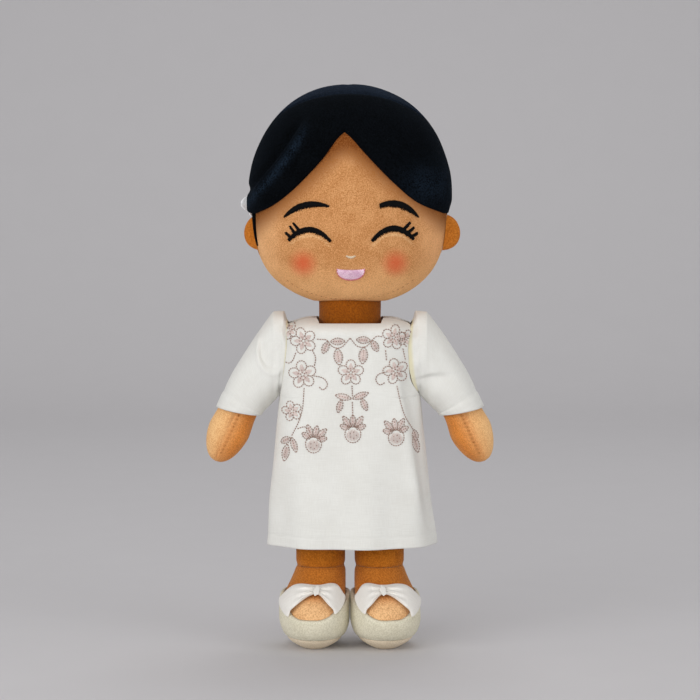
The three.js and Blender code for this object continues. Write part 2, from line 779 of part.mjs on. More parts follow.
// Flower: pointed petals cut from one sheet of felt, lying against the hair behind the doll's right ear.
function flower() {
  const outline = new THREE.Shape();
  const waist = flowerCentre / 2.4;
  for (let i = 0; i < petalCount; i++) {
    const turn = (offset) => (2 * Math.PI * (i + offset)) / petalCount;
    const spot = (radius, offset) =>
      new THREE.Vector2(radius * Math.cos(turn(offset)), radius * Math.sin(turn(offset)));
    const start = spot(waist, -0.5);
    const tip = spot(petalLength, 0);
    const end = spot(waist, 0.5);
    const bulge = new THREE.Vector2(-Math.sin(turn(0)), Math.cos(turn(0))).multiplyScalar(petalWidth * 0.72);
    const belly = spot(petalLength * 0.62, 0);
    if (i === 0) outline.moveTo(start.x, start.y);
    outline.quadraticCurveTo(belly.x - bulge.x, belly.y - bulge.y, tip.x, tip.y);
    outline.quadraticCurveTo(belly.x + bulge.x, belly.y + bulge.y, end.x, end.y);
  }
  const petals = solidOf(
    new THREE.ExtrudeGeometry(outline, { depth: feltWall, bevelEnabled: false, curveSegments: 5 }),
  );
  const bead = new THREE.SphereGeometry(flowerCentre / 2, 10, 6);
  bead.scale(1, 1, 0.6);
  bead.translate(0, 0, feltWall + seamGap + 0.6 * (flowerCentre / 2));

  // The flower's own +Z points out of the hair, and one petal points towards the face.
  const round = degToRad(flowerAngle);
  const off = hairWall + 2 * seamGap;
  const halfWidth = headWidth / 2 + off;
  const halfDepth = headDepth / 2 + off;
  const place = point(-halfWidth * Math.sin(round), -halfDepth * Math.cos(round), headZ - flowerDrop);
  const outward = point(place.x / halfWidth ** 2, place.y / halfDepth ** 2, 0).normalize();
  const forward = point(-outward.y, outward.x, 0).normalize();
  const up = outward.clone().cross(forward);
  const group = new THREE.Group();
  group.position.copy(place).addScaledVector(outward, seamGap);
  group.quaternion.setFromRotationMatrix(new THREE.Matrix4().makeBasis(forward, up, outward));
  group.add(piece("flower_petals", petals, felt), piece("flower_bead", solidOf(bead), beadCotton));
  return group;
}

// Assembly: the head turns on the neck, the neck nods on the torso, and the limbs swing on the torso.
const headGroup = jointed(neckPivot, [...head(), ...face(), ...hair()]);
const flowerGroup = flower();
flowerGroup.position.sub(neckPivot);
headGroup.add(flowerGroup);

const neckGroup = jointed(neckPivot, neck());
headGroup.position.sub(neckPivot);
neckGroup.add(headGroup);

const body = new THREE.Group();
body.add(...torso(), ...dress(), neckGroup);
for (const [side, name] of [
  [1, "left"],
  [-1, "right"],
]) {
  body.add(arm(side, name), leg(side, name));
}

// The doll stands on the origin, with its box centred over it.
const doll = new THREE.Group();
doll.add(body);
const box = new THREE.Box3().setFromObject(body);
body.position.set(-(box.min.x + box.max.x) / 2, -(box.min.y + box.max.y) / 2, -box.min.z);

export default doll;
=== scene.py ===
import json
import random
from math import atan2, copysign, cos, exp, hypot, pi, radians, remainder, sin, sqrt

import bmesh
import bpy
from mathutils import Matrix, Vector, noise
from mathutils.bvhtree import BVHTree


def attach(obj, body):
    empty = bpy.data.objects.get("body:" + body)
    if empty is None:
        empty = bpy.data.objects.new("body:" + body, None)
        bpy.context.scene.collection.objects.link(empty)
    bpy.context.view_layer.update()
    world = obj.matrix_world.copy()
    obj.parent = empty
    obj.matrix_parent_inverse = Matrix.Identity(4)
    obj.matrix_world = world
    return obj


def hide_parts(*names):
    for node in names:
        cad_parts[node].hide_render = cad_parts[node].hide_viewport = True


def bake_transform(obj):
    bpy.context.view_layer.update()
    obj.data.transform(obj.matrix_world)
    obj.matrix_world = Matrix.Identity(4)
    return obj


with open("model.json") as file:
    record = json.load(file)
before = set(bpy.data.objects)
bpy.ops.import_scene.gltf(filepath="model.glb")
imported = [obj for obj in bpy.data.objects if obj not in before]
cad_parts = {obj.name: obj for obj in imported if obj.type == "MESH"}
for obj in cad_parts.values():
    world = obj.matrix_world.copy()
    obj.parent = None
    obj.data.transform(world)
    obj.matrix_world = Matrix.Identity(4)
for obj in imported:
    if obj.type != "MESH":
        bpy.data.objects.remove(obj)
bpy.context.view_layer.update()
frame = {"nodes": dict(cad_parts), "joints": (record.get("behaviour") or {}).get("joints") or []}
scene = bpy.context.scene
dice = random.Random(11)  # every uneven stitch is drawn from here
bodyY = frame["joints"][0]["pos_m"][1]  # the doll's middle plane, in metres
millimetre = 0.001  # pieces are shaped in millimetres about that plane
sides = ((1, "left"), (-1, "right"))  # the doll's own left is at +X
fillInset = 2.2  # how far the filling stays inside the outside of its skin
print("frame loaded,", len(frame["nodes"]), "nodes")


# small maths
def lerp(a, b, t):
    return a + (b - a) * t


def clamp(value, low=0.0, high=1.0):
    return min(max(value, low), high)


def smooth(value, low, high):
    t = clamp((value - low) / (high - low))
    return t * t * (3 - 2 * t)


def near(value, centre, width):  # 1 at the centre, falling away over the width
    return exp(-(((value - centre) / width) ** 2))


def rolled(distance, radius):  # height of a rounded edge, from 0 at the edge to 1
    return sqrt(max(0.0, 1 - (1 - clamp(distance / radius)) ** 2))


def lumps(point, size, seed):  # slow unevenness of stuffed cloth, from -1 to 1
    return noise.noise(Vector(point) / size + Vector((seed, seed * 0.7, 0)))


def bezier(points, t):
    points = [Vector(p) for p in points]
    while len(points) > 1:
        points = [a.lerp(b, t) for a, b in zip(points, points[1:])]
    return points[0]


def heading(points, t):  # direction of a bezier curve
    return (bezier(points, min(t + 0.01, 1)) - bezier(points, max(t - 0.01, 0))).normalized()


def spline(points, t):  # smooth curve through all the points
    points = [Vector(p) for p in points]
    step = clamp(t) * (len(points) - 1)
    i = min(int(step), len(points) - 2)
    s = step - i
    b, c = points[i], points[i + 1]
    a = points[i - 1] if i > 0 else b * 2 - c
    d = points[i + 2] if i + 2 < len(points) else c * 2 - b
    return 0.5 * (2 * b + (c - a) * s + (2 * a - 5 * b + 4 * c - d) * s**2 + (3 * b - a - 3 * c + d) * s**3)


def srgb(red, green, blue):  # a colour as read off a screen
    def linear(c):
        c /= 255
        return c / 12.92 if c <= 0.04045 else ((c + 0.055) / 1.055) ** 2.4

    return (linear(red), linear(green), linear(blue), 1.0)


# mesh makers
def flatGrid(across, along, flat):  # a square grid, with the size of its flat cloth as its UV map, in metres
    bm = bmesh.new()
    bmesh.ops.create_grid(bm, x_segments=across, y_segments=along, size=0.5)
    uv = bm.loops.layers.uv.new("flat")
    for face in bm.faces:
        for loop in face.loops:
            x, y = loop.vert.co.xy
            loop[uv].uv = ((x + 0.5) * flat[0], (y + 0.5) * flat[1])
    return bm


def sheetMesh(across, along, shape, flat=(0.1, 0.1)):
    bm = flatGrid(across, along, flat)
    for vert in bm.verts:
        vert.co = shape(vert.co.x + 0.5, vert.co.y + 0.5)
    return bm


def padMesh(across, along, under, over, flat=(0.1, 0.1)):  # two sheets that share their border
    bm = flatGrid(across, along, flat)
    copied = bmesh.ops.duplicate(bm, geom=wholeOf(bm))["geom"]
    lower = {part for part in copied if isinstance(part, bmesh.types.BMVert)}
    for vert in bm.verts:
        u, v = ((1 - cos(pi * (c + 0.5))) / 2 for c in vert.co.xy)  # closer together at the edges
        vert.co = under(u, v) if vert in lower else over(u, v)
    return bm


def ballMesh(segments, rings, shape):
    bm = bmesh.new()
    bmesh.ops.create_uvsphere(bm, u_segments=segments, v_segments=rings, radius=1)
    for vert in bm.verts:
        vert.co = shape(vert.co.copy())
    return bm


def wholeOf(bm):
    return bm.verts[:] + bm.edges[:] + bm.faces[:]


def cutAlong(bm, place, outward, drop=False):  # cuts along a plane, and may drop what lies outside it
    bmesh.ops.bisect_plane(bm, geom=wholeOf(bm), plane_co=place, plane_no=outward, clear_outer=drop)


touching, sliver = 0.002, 0.001  # closer points are one point, shorter edges are none


def sewn(bm, middle=None):
    # merges what touches and turns every face outwards, on an open piece away from its middle
    bmesh.ops.remove_doubles(bm, verts=bm.verts, dist=touching)
    bmesh.ops.dissolve_degenerate(bm, edges=bm.edges, dist=sliver)
    bmesh.ops.recalc_face_normals(bm, faces=bm.faces)
    if middle is None:
        return bm
    middle = Vector(middle)
    facing = sum((f.calc_center_median() - middle).dot(f.normal) * f.calc_area() for f in bm.faces)
    if facing < 0:
        bmesh.ops.reverse_faces(bm, faces=bm.faces)
    return bm


def clothArea(bm):  # in square metres
    return sum(f.calc_area() for f in bm.faces) * millimetre**2


def newObject(name, mesh, material):
    mesh.materials.clear()
    mesh.materials.append(material)
    mesh.polygons.foreach_set("use_smooth", [True] * len(mesh.polygons))
    piece = bpy.data.objects.new(name, mesh)
    scene.collection.objects.link(piece)
    return piece


def addPiece(name, bm, material, body, nodes=(), wall=0, napAndHighlight=None):
    if napAndHighlight:  # how far the colour goes to its second shade, from 0 to 1: painted highlight on the hair and under the eyes, parted pile on the hand seams
        layer = bm.verts.layers.float.new("napAndHighlight")
        for vert in bm.verts:
            vert[layer] = clamp(napAndHighlight(vert.co))
    bmesh.ops.scale(bm, vec=(millimetre,) * 3, verts=bm.verts)
    bmesh.ops.translate(bm, vec=(0, bodyY, 0), verts=bm.verts)
    mesh = bpy.data.meshes.new(name)
    bm.to_mesh(mesh)
    bm.free()
    piece = newObject(name, mesh, material)
    if wall:
        shell = piece.modifiers.new("wall", "SOLIDIFY")
        shell.thickness = wall * millimetre
        shell.offset = -1
    return settle(piece, body, nodes)


def settle(piece, body, nodes=()):
    if body:
        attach(piece, body)
    if nodes:
        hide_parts(*nodes)
    return piece


def addSkin(name, bm, material, body, node, wall=0, napAndHighlight=None):
    addPiece(f"{name}_plush", bm, material, body, [node], wall, napAndHighlight)


def addFilling(name, bm, body, node):
    addPiece(f"{name}_fibre_filling", sewn(bm), fibreFill, body, [node])


def bakedMesh(piece):  # the piece's mesh with its modifiers or its bevel in it
    bpy.context.view_layer.update()
    ready = piece.evaluated_get(bpy.context.evaluated_depsgraph_get())
    return bpy.data.meshes.new_from_object(ready)


def threadPiece(name, strokes, thickness, material, body, nodes=()):
    # strokes are lists of (place, share of the thread's thickness), turned into round threads
    curve = bpy.data.curves.new(name, "CURVE")
    curve.dimensions = "3D"
    curve.bevel_depth = thickness / 2 * millimetre
    curve.bevel_resolution = 1
    curve.use_fill_caps = True
    for stroke in strokes:
        line = curve.splines.new("POLY")
        line.points.add(len(stroke) - 1)
        for point, (place, share) in zip(line.points, stroke):
            point.co = (place[0] * millimetre, place[1] * millimetre + bodyY, place[2] * millimetre, 1)
            point.radius = share
    holder = bpy.data.objects.new(name + "_path", curve)
    scene.collection.objects.link(holder)
    mesh = bakedMesh(holder)
    bpy.data.objects.remove(holder)
    return settle(newObject(name, mesh, material), body, nodes)


# shader maths: a wrapped socket adds its nodes as the expression is written
class Wire:
    def __init__(self, tree, socket=None):
        self.tree = tree
        self.socket = socket

    def make(self, kind, settings=None, sockets=None, out=0):
        node = self.tree.nodes.new(kind)
        for key, value in (settings or {}).items():
            setattr(node, key, value)
        for key, value in (sockets or {}).items():
            if isinstance(value, Wire):
                self.tree.links.new(value.socket, node.inputs[key])
            else:
                node.inputs[key].default_value = value
        return Wire(self.tree, node.outputs[out])

    def other(self, out):  # another output of the same node
        return Wire(self.tree, self.socket.node.outputs[out])

    def math(self, operation, a, b=0.0):
        return self.make("ShaderNodeMath", {"operation": operation}, {0: a, 1: b})

    def __add__(self, other):
        return self.math("ADD", self, other)

    def __sub__(self, other):
        return self.math("SUBTRACT", self, other)

    def __rsub__(self, other):
        return self.math("SUBTRACT", other, self)

    def __mul__(self, other):
        return self.math("MULTIPLY", self, other)

    def __pow__(self, other):
        return self.math("POWER", self, other)

    __radd__ = __add__
    __rmul__ = __mul__

    def spread(self, low, high):  # 0 at low, 1 at high, eased and clamped
        sockets = {"Value": self, "From Min": low, "From Max": high}
        return self.make("ShaderNodeMapRange", {"interpolation_type": "SMOOTHSTEP"}, sockets)

    def between(self, first, second):  # a colour, from the first at 0 to the second at 1
        return self.make("ShaderNodeMix", {"data_type": "RGBA"}, {0: self, 6: first, 7: second}, out=2)

    def along(self, slope):  # how far a place lies along a slope
        return self.make("ShaderNodeVectorMath", {"operation": "DOT_PRODUCT"}, {0: self, 1: slope}, out=1)

    def grain(self, scale, detail=2.0, roughness=0.5):
        sockets = {"Vector": self, "Scale": scale, "Detail": detail, "Roughness": roughness}
        return self.make("ShaderNodeTexNoise", None, sockets)

    def stretched(self, scale):
        return self.make("ShaderNodeMapping", None, {"Vector": self, "Scale": scale})

    def bump(self, strength, depth):
        return self.make("ShaderNodeBump", None, {"Height": self, "Strength": strength, "Distance": depth})


def newMaterial(name, **fixed):
    material = bpy.data.materials.new(name)
    material.use_nodes = True
    shader = material.node_tree.nodes["Principled BSDF"]
    for key, value in fixed.items():
        shader.inputs[key.replace("_", " ")].default_value = value

    def feed(**wires):
        for key, wire in wires.items():
            material.node_tree.links.new(wire.socket, shader.inputs[key.replace("_", " ")])
        return material

    return Wire(material.node_tree), feed


# plush: tufts that show two shades of the pile, over wider patches that were brushed one way
tuftLook = dict(detail=3.0, roughness=0.65, brushed=95.0, brushedShare=0.2, low=0.36, high=0.64, napAndHighlightGain=1.6,
                fine=2.6, fineShare=0.6, bump=0.75, shine=0.45)


def plush(name, light, dark, pile=1250.0, sheen=0.4, sheenTint=(255, 222, 180), depth=0.0004, gloss=0.12,
          napAndHighlight=None, blush=(), shades=()):
    start, feed = newMaterial(name, Sheen_Weight=sheen, Sheen_Roughness=tuftLook["shine"],
                              Sheen_Tint=srgb(*sheenTint), Specular_IOR_Level=gloss)
    place = start.make("ShaderNodeTexCoord", out="Object")
    tufts = place.grain(pile, tuftLook["detail"], tuftLook["roughness"])
    brushed = place.grain(tuftLook["brushed"])
    share = tuftLook["brushedShare"]
    shade = (tufts * (1 - share) + brushed * share).spread(tuftLook["low"], tuftLook["high"])
    colour = shade.between(srgb(*dark), srgb(*light))
    for slope, low, high, tint in shades:  # a colour that comes in along a slope, from low to high in metres
        tinted = (0.5 + shade * 0.55).between(srgb(*dark), srgb(*tint))
        colour = place.along(slope).spread(low, high).between(colour, tinted)
    # second colour by the mesh's attribute: painted highlight on the hair and under the eyes, darker seam
    # line on the hands
    if napAndHighlight:
        brush = start.make("ShaderNodeAttribute", {"attribute_name": "napAndHighlight"}, out="Fac")
        colour = (brush * shade * tuftLook["napAndHighlightGain"]).between(colour, srgb(*napAndHighlight))
    if blush:
        colour = blushed(place, colour, *blush)
    height = tufts + place.grain(pile * tuftLook["fine"], 1.0) * tuftLook["fineShare"]
    return feed(Base_Color=colour, Roughness=0.8 + tufts * 0.15, Normal=height.bump(tuftLook["bump"], depth))


def blushed(place, colour, spots, radius, frontY, tint):  # soft round spots of colour in front of a plane
    x = place.make("ShaderNodeSeparateXYZ", None, {0: place})
    y, z = x.other(1), x.other(2)
    front = y.math("LESS_THAN", y, frontY)
    for spotX, spotZ in spots:
        away = ((x - spotX) ** 2 + (z - spotZ) ** 2) ** 0.5
        mask = away.spread(radius, 0.0) * front * (0.62 + place.grain(700.0) * 0.4)
        colour = mask.between(colour, srgb(*tint))
    return colour


weaveLook = dict(warp=(2600, 160, 1), weft=(140, 2400, 1), cloud=45.0, cloudShare=0.4, low=0.3, high=0.68,
                 bump=0.35, depth=0.00018)


def cotton(name, light, dark, facing=None):
    start, feed = newMaterial(name, Sheen_Weight=0.15, Sheen_Roughness=0.5, Specular_IOR_Level=0.2)
    flat = start.make("ShaderNodeUVMap", {"uv_map": "flat"})
    warp, weft = (flat.stretched(weaveLook[way]).grain(1.0) for way in ("warp", "weft"))
    weave = warp * 0.5 + weft * 0.5
    share = weaveLook["cloudShare"]
    shade = (weave * (1 - share) + flat.grain(weaveLook["cloud"]) * share)
    colour = shade.spread(weaveLook["low"], weaveLook["high"]).between(srgb(*dark), srgb(*light))
    if facing:  # the seam edge of the cloth, up to a width in metres
        width, tint = facing
        fromEdge = flat.make("ShaderNodeSeparateXYZ", None, {0: flat}, out=1)
        colour = fromEdge.spread(width, width * 0.6).between(colour, srgb(*tint))
    bump = weave.bump(weaveLook["bump"], weaveLook["depth"])
    return feed(Base_Color=colour, Roughness=0.72 + weave * 0.2, Normal=bump)


def thread(name, light, dark, roughness=0.45, sheen=0.2, gloss=0.35):
    start, feed = newMaterial(name, Sheen_Weight=sheen, Sheen_Roughness=0.35, Specular_IOR_Level=gloss)
    place = start.make("ShaderNodeTexCoord", out="Object")
    twist = place.grain(2600.0, 1.0)
    shade = (twist * 0.6 + place.grain(260.0) * 0.4).spread(0.34, 0.66)
    colour = shade.between(srgb(*dark), srgb(*light))
    return feed(Base_Color=colour, Roughness=roughness + twist * 0.2, Normal=twist.bump(0.3, 0.00008))


# the colour of the painted shadow under the hair, and plain white
paintedHairShadow, white = (112, 52, 2), (255, 255, 255)
faceLightAndShadow = [  # slope, start, end and colour: painted light paler at the sides and the chin, painted shadow darker under the hair
    ((-1, 0, 0), 0.030, 0.050, (255, 198, 142)),
    ((1, 0, 0), 0.030, 0.050, (252, 190, 134)),
    ((-0.678, 0, 0.735), 0.1900, 0.2035, paintedHairShadow),
    ((0.636, 0, 0.772), 0.1970, 0.2105, paintedHairShadow),
    ((0, 0, 1), 0.212, 0.187, (255, 198, 138)),
]
cheeks = ([(-0.0246, 0.2066), (0.0239, 0.2068)], 0.0098, -0.02, (220, 90, 54))
handShades = [((side * 0.893, 0, 0.45), 0.102, 0.117, (255, 207, 146)) for side, name in sides]  # paler sides
# painted light: the lower foot paler, where light falls on the toes
paintedToeLight = [((0, 0, 1), 0.031, 0.024, (255, 206, 150))]
# face plush: painted light at the sides and chin, painted shadow under the hair, a pale painted highlight
# under the eyes
facePlush = plush("face plush", (227, 168, 113), (184, 121, 66), pile=1800.0, sheen=0.28,
                  sheenTint=(255, 196, 130), napAndHighlight=(255, 214, 160), shades=faceLightAndShadow, blush=cheeks)
limbPlush = plush("limb plush", (236, 150, 70), (198, 116, 48), pile=1600.0, napAndHighlight=(152, 80, 24),
                  shades=handShades)
# a darker copy of the skin plush: painted shade on the feet
footPlush = plush("foot plush", (206, 126, 48), (170, 94, 26), shades=paintedToeLight)
# a darker copy of the skin plush: painted shadow of the skirt on the legs
legShadowPlush = plush("leg plush", (204, 122, 36), (164, 90, 16), sheen=0.25)
# a darker copy of the skin plush: painted shadow of the head on the neck
neckShadowPlush = plush("neck plush", (158, 86, 14), (124, 62, 4), sheen=0.2)
# a darker copy of the skin plush: painted shade on the ears
earShadePlush = plush("ear plush", (210, 127, 46), (176, 99, 26), sheen=0.3)
# hair plush, with a bluish painted highlight as its second colour
hairPlush = plush("hair plush", (8, 11, 15), (2, 3, 4), sheen=0.025, sheenTint=(120, 165, 215), gloss=0.03,
                  napAndHighlight=(40, 56, 74))
# a lighter copy of the hair plush: painted light from above, on the back of the hair and on the bun
hairCapLitPlush = plush("hair cap plush", (26, 34, 46), (13, 18, 26), sheen=0.05, sheenTint=(130, 165, 215),
                     gloss=0.03)
shoePlush = plush("shoe plush", (240, 234, 212), (216, 209, 184), sheen=0.2, sheenTint=(250, 250, 240))
solePlush = plush("sole plush", (250, 234, 208), (228, 210, 182), sheen=0.2, sheenTint=(250, 246, 230))
fibreFill = plush("fibre filling", (244, 243, 238), (222, 220, 212), pile=300.0, sheenTint=white)
dressCotton = cotton("dress cotton", (234, 234, 229), (223, 222, 216))
sleeveCotton = cotton("sleeve cotton", (234, 234, 229), (223, 222, 216), (0.0050, (228, 222, 192)))
bowRibbon = cotton("bow ribbon", (243, 240, 234), (231, 227, 220))
petalFelt = plush("petal felt", (254, 254, 254), (242, 243, 246), pile=1500.0, sheen=0.9, sheenTint=white,
                  depth=0.0002)
beadCotton = thread("flower bead cotton", (232, 220, 182), (208, 190, 142))
tapeNylon = plush("tape nylon", (236, 236, 232), (212, 212, 206), pile=1900.0, sheenTint=white)
blackThread = thread("black thread", (8, 8, 9), (2, 2, 3), 0.7, 0.0, 0.12)
noseThread = thread("nose thread", (240, 226, 204), (206, 182, 148))
mouthThread = thread("mouth thread", (252, 224, 238), (212, 164, 194))
mouthEdgeThread = thread("mouth edge thread", (214, 122, 132), (184, 88, 98))
skinThread = thread("skin thread", (198, 136, 84), (170, 108, 58))
roseThread = thread("rose thread", (178, 150, 138), (138, 108, 96))
paleRoseThread = thread("pale rose thread", (230, 215, 209), (212, 193, 186))
print("materials ready")


# head: an egg, deeper above its widest level than below
head = dict(width=103.4, depth=79.0, upper=58.0, lower=57.0, crownSquare=2.13, jawSquare=3.2, middle=239.5,
            seam=-2.0, seamGap=0.02, seamDip=0.5, seamWidth=1.3, neckHole=16.9, neckTuck=0.5, tuckWidth=3.0,
            underside=-35.0, wall=1.3, lump=0.35, fillGap=0.6, fillRise=8.6)
headMiddle = Vector((0, 0, head["middle"]))


def headSizes(z, off):
    high = head["upper"] if z > 0 else head["lower"]
    return head["width"] / 2 + off, head["depth"] / 2 + off, high + off


def headPoint(direction, off=0.0):  # where a line from the middle leaves the head
    wide, deep, high = headSizes(direction[2], 0)
    x, y, z = direction[0] / wide, direction[1] / deep, direction[2] / high
    level, rise = hypot(x, y), abs(z)
    if z > 0:
        square = head["crownSquare"]
        reach = (level**square + rise**square) ** (-1 / square)
    else:
        square = head["jawSquare"]
        reach = 1 / max(level, rise)
        for attempt in range(6):
            excess = (reach * level) ** 2 + (reach * rise) ** square - 1
            reach -= excess / (2 * reach * level**2 + square * reach ** (square - 1) * rise**square)
    wide, deep, high = headSizes(direction[2], off)
    return headMiddle + Vector((x * wide, y * deep, z * high)) * reach


def facePoint(x, z, off=0.0):  # the spot that shows at x and z from the front, z from the head's middle
    wide, deep, high = headSizes(z, off)
    across, up = x / wide, min(abs(z) / high, 1.0)
    square = head["crownSquare"]
    level = (1 - up**square) ** (2 / square) if z > 0 else 1 - up ** head["jawSquare"]
    return headMiddle + Vector((x, -deep * sqrt(max(0.0, level - across**2)), z))


def pressedOn(place, off):  # moves a point that lies inside the head out to its surface
    out = place - headMiddle
    surface = headPoint(out, off)
    return surface if (surface - headMiddle).length > out.length else place


# face threads, in millimetres from the head's middle, as seen from the front
face = dict(
    eyes=[[(-32.2, -20.6), (-21.2, -9.0), (-10.2, -20.8)], [(11.6, -20.6), (22.6, -8.0), (33.4, -20.2)]],
    eyeHalf=(0.8, 1.5, 0.65), eyePitch=0.34,
    lashes=[[(-31.2, -19.2), (-33.7, -16.6)], [(-28.8, -17.2), (-31.4, -13.2)],
            [(-26.4, -15.6), (-29.6, -11.5)], [(27.8, -15.2), (31.5, -11.3)],
            [(30.2, -16.8), (33.6, -14.0)], [(32.3, -18.8), (35.4, -17.0)]],
    lashHalf=(0.78, 0.78, 0.62), lashPitch=0.3, lashSlant=0.25,
    brows=[[(-34.5, -8.4), (-24.5, 1.2), (-11.2, -2.6)], [(35.8, -8.6), (26.5, 1.8), (15.7, -2.4)]],
    browHalf=[(0.35, 1.65, 0.5), (0.3, 1.7, 1.2)], browSlant=0.3,
    nose=[(-1.8, -28.5), (0.4, -30.0), (2.6, -28.5)], noseHalf=(0.4, 0.65, 0.4), nosePitch=0.4,
    mouth=dict(left=-6.8, right=7.6, top=-35.4, drop=6.1, sag=0.5, rows=38, thread=0.62, edge=0.6),
    front=-20.0, top=8.0, thread=0.56, height=0.55, dent=0.45, dentWidth=2.2,
    # the painted highlight under each eye: how far below, how wide, how strong
    creaseDrop=3.1, creaseWidth=0.65, crease=0.45,
)
mouth = face["mouth"]
mouthMiddle = (mouth["left"] + mouth["right"]) / 2
dentSpots = [bezier(line, i / 14) for line in face["eyes"] + face["brows"] for i in range(15)]
dentSpots += [Vector((mouthMiddle + x, mouth["top"] - 2.5)) for x in (-5, -2.5, 0, 2.5, 5)]


def headSkin(direction):  # drawn in at the side seam and round the stitching, uneven elsewhere
    place = headPoint(direction)
    outward = (place - headMiddle).normalized()
    inward = head["seamDip"] * near(place.y, head["seam"], head["seamWidth"])
    inward -= head["lump"] * lumps(place, 21, 3)
    if place.y < face["front"] and place.z < head["middle"] + face["top"]:
        spot = Vector((place.x, place.z - head["middle"]))
        closest = min((spot - dent).length_squared for dent in dentSpots)
        inward += face["dent"] * exp(-closest / face["dentWidth"] ** 2)
    return place - outward * inward


def eyeCreaseHighlight(place):  # painted highlight: a pale line just under each eye
    spot = place - headMiddle
    if spot.y > face["front"]:
        return 0.0
    pale = 0.0
    for start, bend, end in face["eyes"]:
        middle, half = (start[0] + end[0]) / 2, (end[0] - start[0]) / 2
        low = (start[1] + end[1]) / 2
        share = (spot.x - middle) / half
        arc = lerp((low + bend[1]) / 2, low, share**2)
        line = near(spot.z - arc, -face["creaseDrop"], face["creaseWidth"])
        pale += face["crease"] * line * (1 - smooth(abs(share), 0.85, 1.15))
    return pale


def openAtNeck(bm):  # a round hole for the neck, with the plush tucked up round it
    hole, wide = head["neckHole"], head["neckHole"] + head["tuckWidth"]

    def fromNeck(v):
        return hypot(v.co.x, v.co.y) if v.co.z < head["middle"] + head["underside"] else wide

    inside = {v for v in bm.verts if fromNeck(v) < hole}
    gone = [f for f in bm.faces if all(v in inside for v in f.verts)]
    bmesh.ops.delete(bm, geom=gone, context="FACES")
    for v in bm.verts:
        away = fromNeck(v)
        if away < wide:
            v.co.z += head["neckTuck"] * (1 - smooth(away, hole, wide))
        if away < hole:
            v.co.x *= hole / away
            v.co.y *= hole / away


def headShell(front):
    bm = ballMesh(300, 180, headSkin)
    side = -1 if front else 1
    cutAlong(bm, (0, head["seam"] + side * head["seamGap"], 0), (0, -side, 0), drop=True)
    openAtNeck(bm)
    return sewn(bm, headMiddle)


for name, front in (("face_panel", True), ("head_back_panel", False)):
    addSkin(name, headShell(front), facePlush, "head", name, head["wall"], eyeCreaseHighlight if front else None)


def headFilling(direction):
    place = headPoint(direction, -fillInset - 0.5 * abs(lumps(Vector(direction) * 30, 9, 5)))
    if hypot(place.x, place.y) < head["neckHole"] + head["fillGap"]:  # it rests on the top of the neck
        place.z = max(place.z, head["middle"] - head["lower"] + head["fillRise"])
    return place


addFilling("head", ballMesh(72, 40, headFilling), "head", "head_stuffing")

ear = dict(tall=9.9, thick=4.0, y=-2.0, drop=17.7, square=0.06, lean=0.05, rimDip=0.05, rimWidth=0.13,
           gap=0.12, out=dict(left=7.3, right=5.0))
for side, name in sides:
    middle = Vector((side * (head["width"] / 2 + ear["out"][name] - ear["tall"]), ear["y"],
                     head["middle"] - ear["drop"]))

    def earShape(p):
        rim = 1 - ear["rimDip"] * near(p.y, 0, ear["rimWidth"])
        puff = copysign(abs(p.y) ** 0.85, p.y)
        full = 1 + ear["square"] * p.z**2 - ear["lean"] * p.z  # fuller below than above
        flat = Vector((p.x * ear["tall"] * rim * full, puff * ear["thick"], p.z * ear["tall"] * rim))
        return pressedOn(middle + flat, ear["gap"])

    addPiece(f"ear_{name}_plush", sewn(ballMesh(48, 32, earShape)), earShadePlush, "head",
             [f"ear_{name}"])
print("head, ears and filling made")


# satin stitch: short threads laid side by side across a line on the face
def bandHalf(shares, t):  # half width of a band: at its start, widest, and at its end
    start, middle, end = shares
    return lerp(start if t < 0.5 else end, middle, sin(pi * t) ** 0.75)


def satinBand(points, half, pitch, slant=0.0):
    strokes = []
    length = sum((bezier(points, (i + 1) / 20) - bezier(points, i / 20)).length for i in range(20))
    count = max(3, round(length / pitch))
    for i in range(count + 1):
        t = i / count
        at, along = bezier(points, t), heading(points, t)
        across = Vector((-along.y, along.x))
        reach = bandHalf(half, t)
        if across.y > 0:  # the lower ends are the ragged ones
            across, along = -across, -along
        uneven = 0.24 * cos(2.1 * i)  # every third stitch reaches further
        start = at + across * reach * (dice.uniform(0.8, 1.28) + uneven) + along * slant
        end = at - across * reach * dice.uniform(0.92, 1.1) - along * slant
        stroke = []
        for s, share in ((0, 0.5), (0.2, 0.9), (0.5, 1), (0.8, 0.9), (1, 0.5)):
            spot = start.lerp(end, s)
            lift = face["height"] * sin(pi * s) ** 0.6
            stroke.append((facePoint(spot.x, spot.y, lift - face["dent"] * 0.4), share))
        strokes.append(stroke)
    return strokes


def faceThread(name, strokes, material, nodes=(), thickness=face["thread"]):
    threadPiece(name, strokes, thickness, material, "head", nodes)


for i, name in enumerate(("right", "left")):  # the doll's own right is on the left of the picture
    strokes = satinBand(face["eyes"][i], face["eyeHalf"], face["eyePitch"])
    for lash in face["lashes"][3 * i : 3 * i + 3]:
        strokes += satinBand(lash, face["lashHalf"], face["lashPitch"], face["lashSlant"])
    faceThread(f"eye_{name}_thread", strokes, blackThread, [f"eye_{name}"])
    strokes = satinBand(face["brows"][i], face["browHalf"][i], face["eyePitch"], face["browSlant"])
    faceThread(f"brow_{name}_thread", strokes, blackThread, [f"brow_{name}"])

strokes = satinBand(face["nose"], face["noseHalf"], face["nosePitch"])
faceThread("nose_thread", strokes, noseThread, ["nose_stitch"])


def mouthEdge(t):  # round the lower lip from corner to corner
    half = (mouth["right"] - mouth["left"]) / 2
    angle = pi * t
    z = mouth["top"] - mouth["drop"] * sin(angle) ** 0.72
    return Vector((mouthMiddle - half * cos(angle), z))


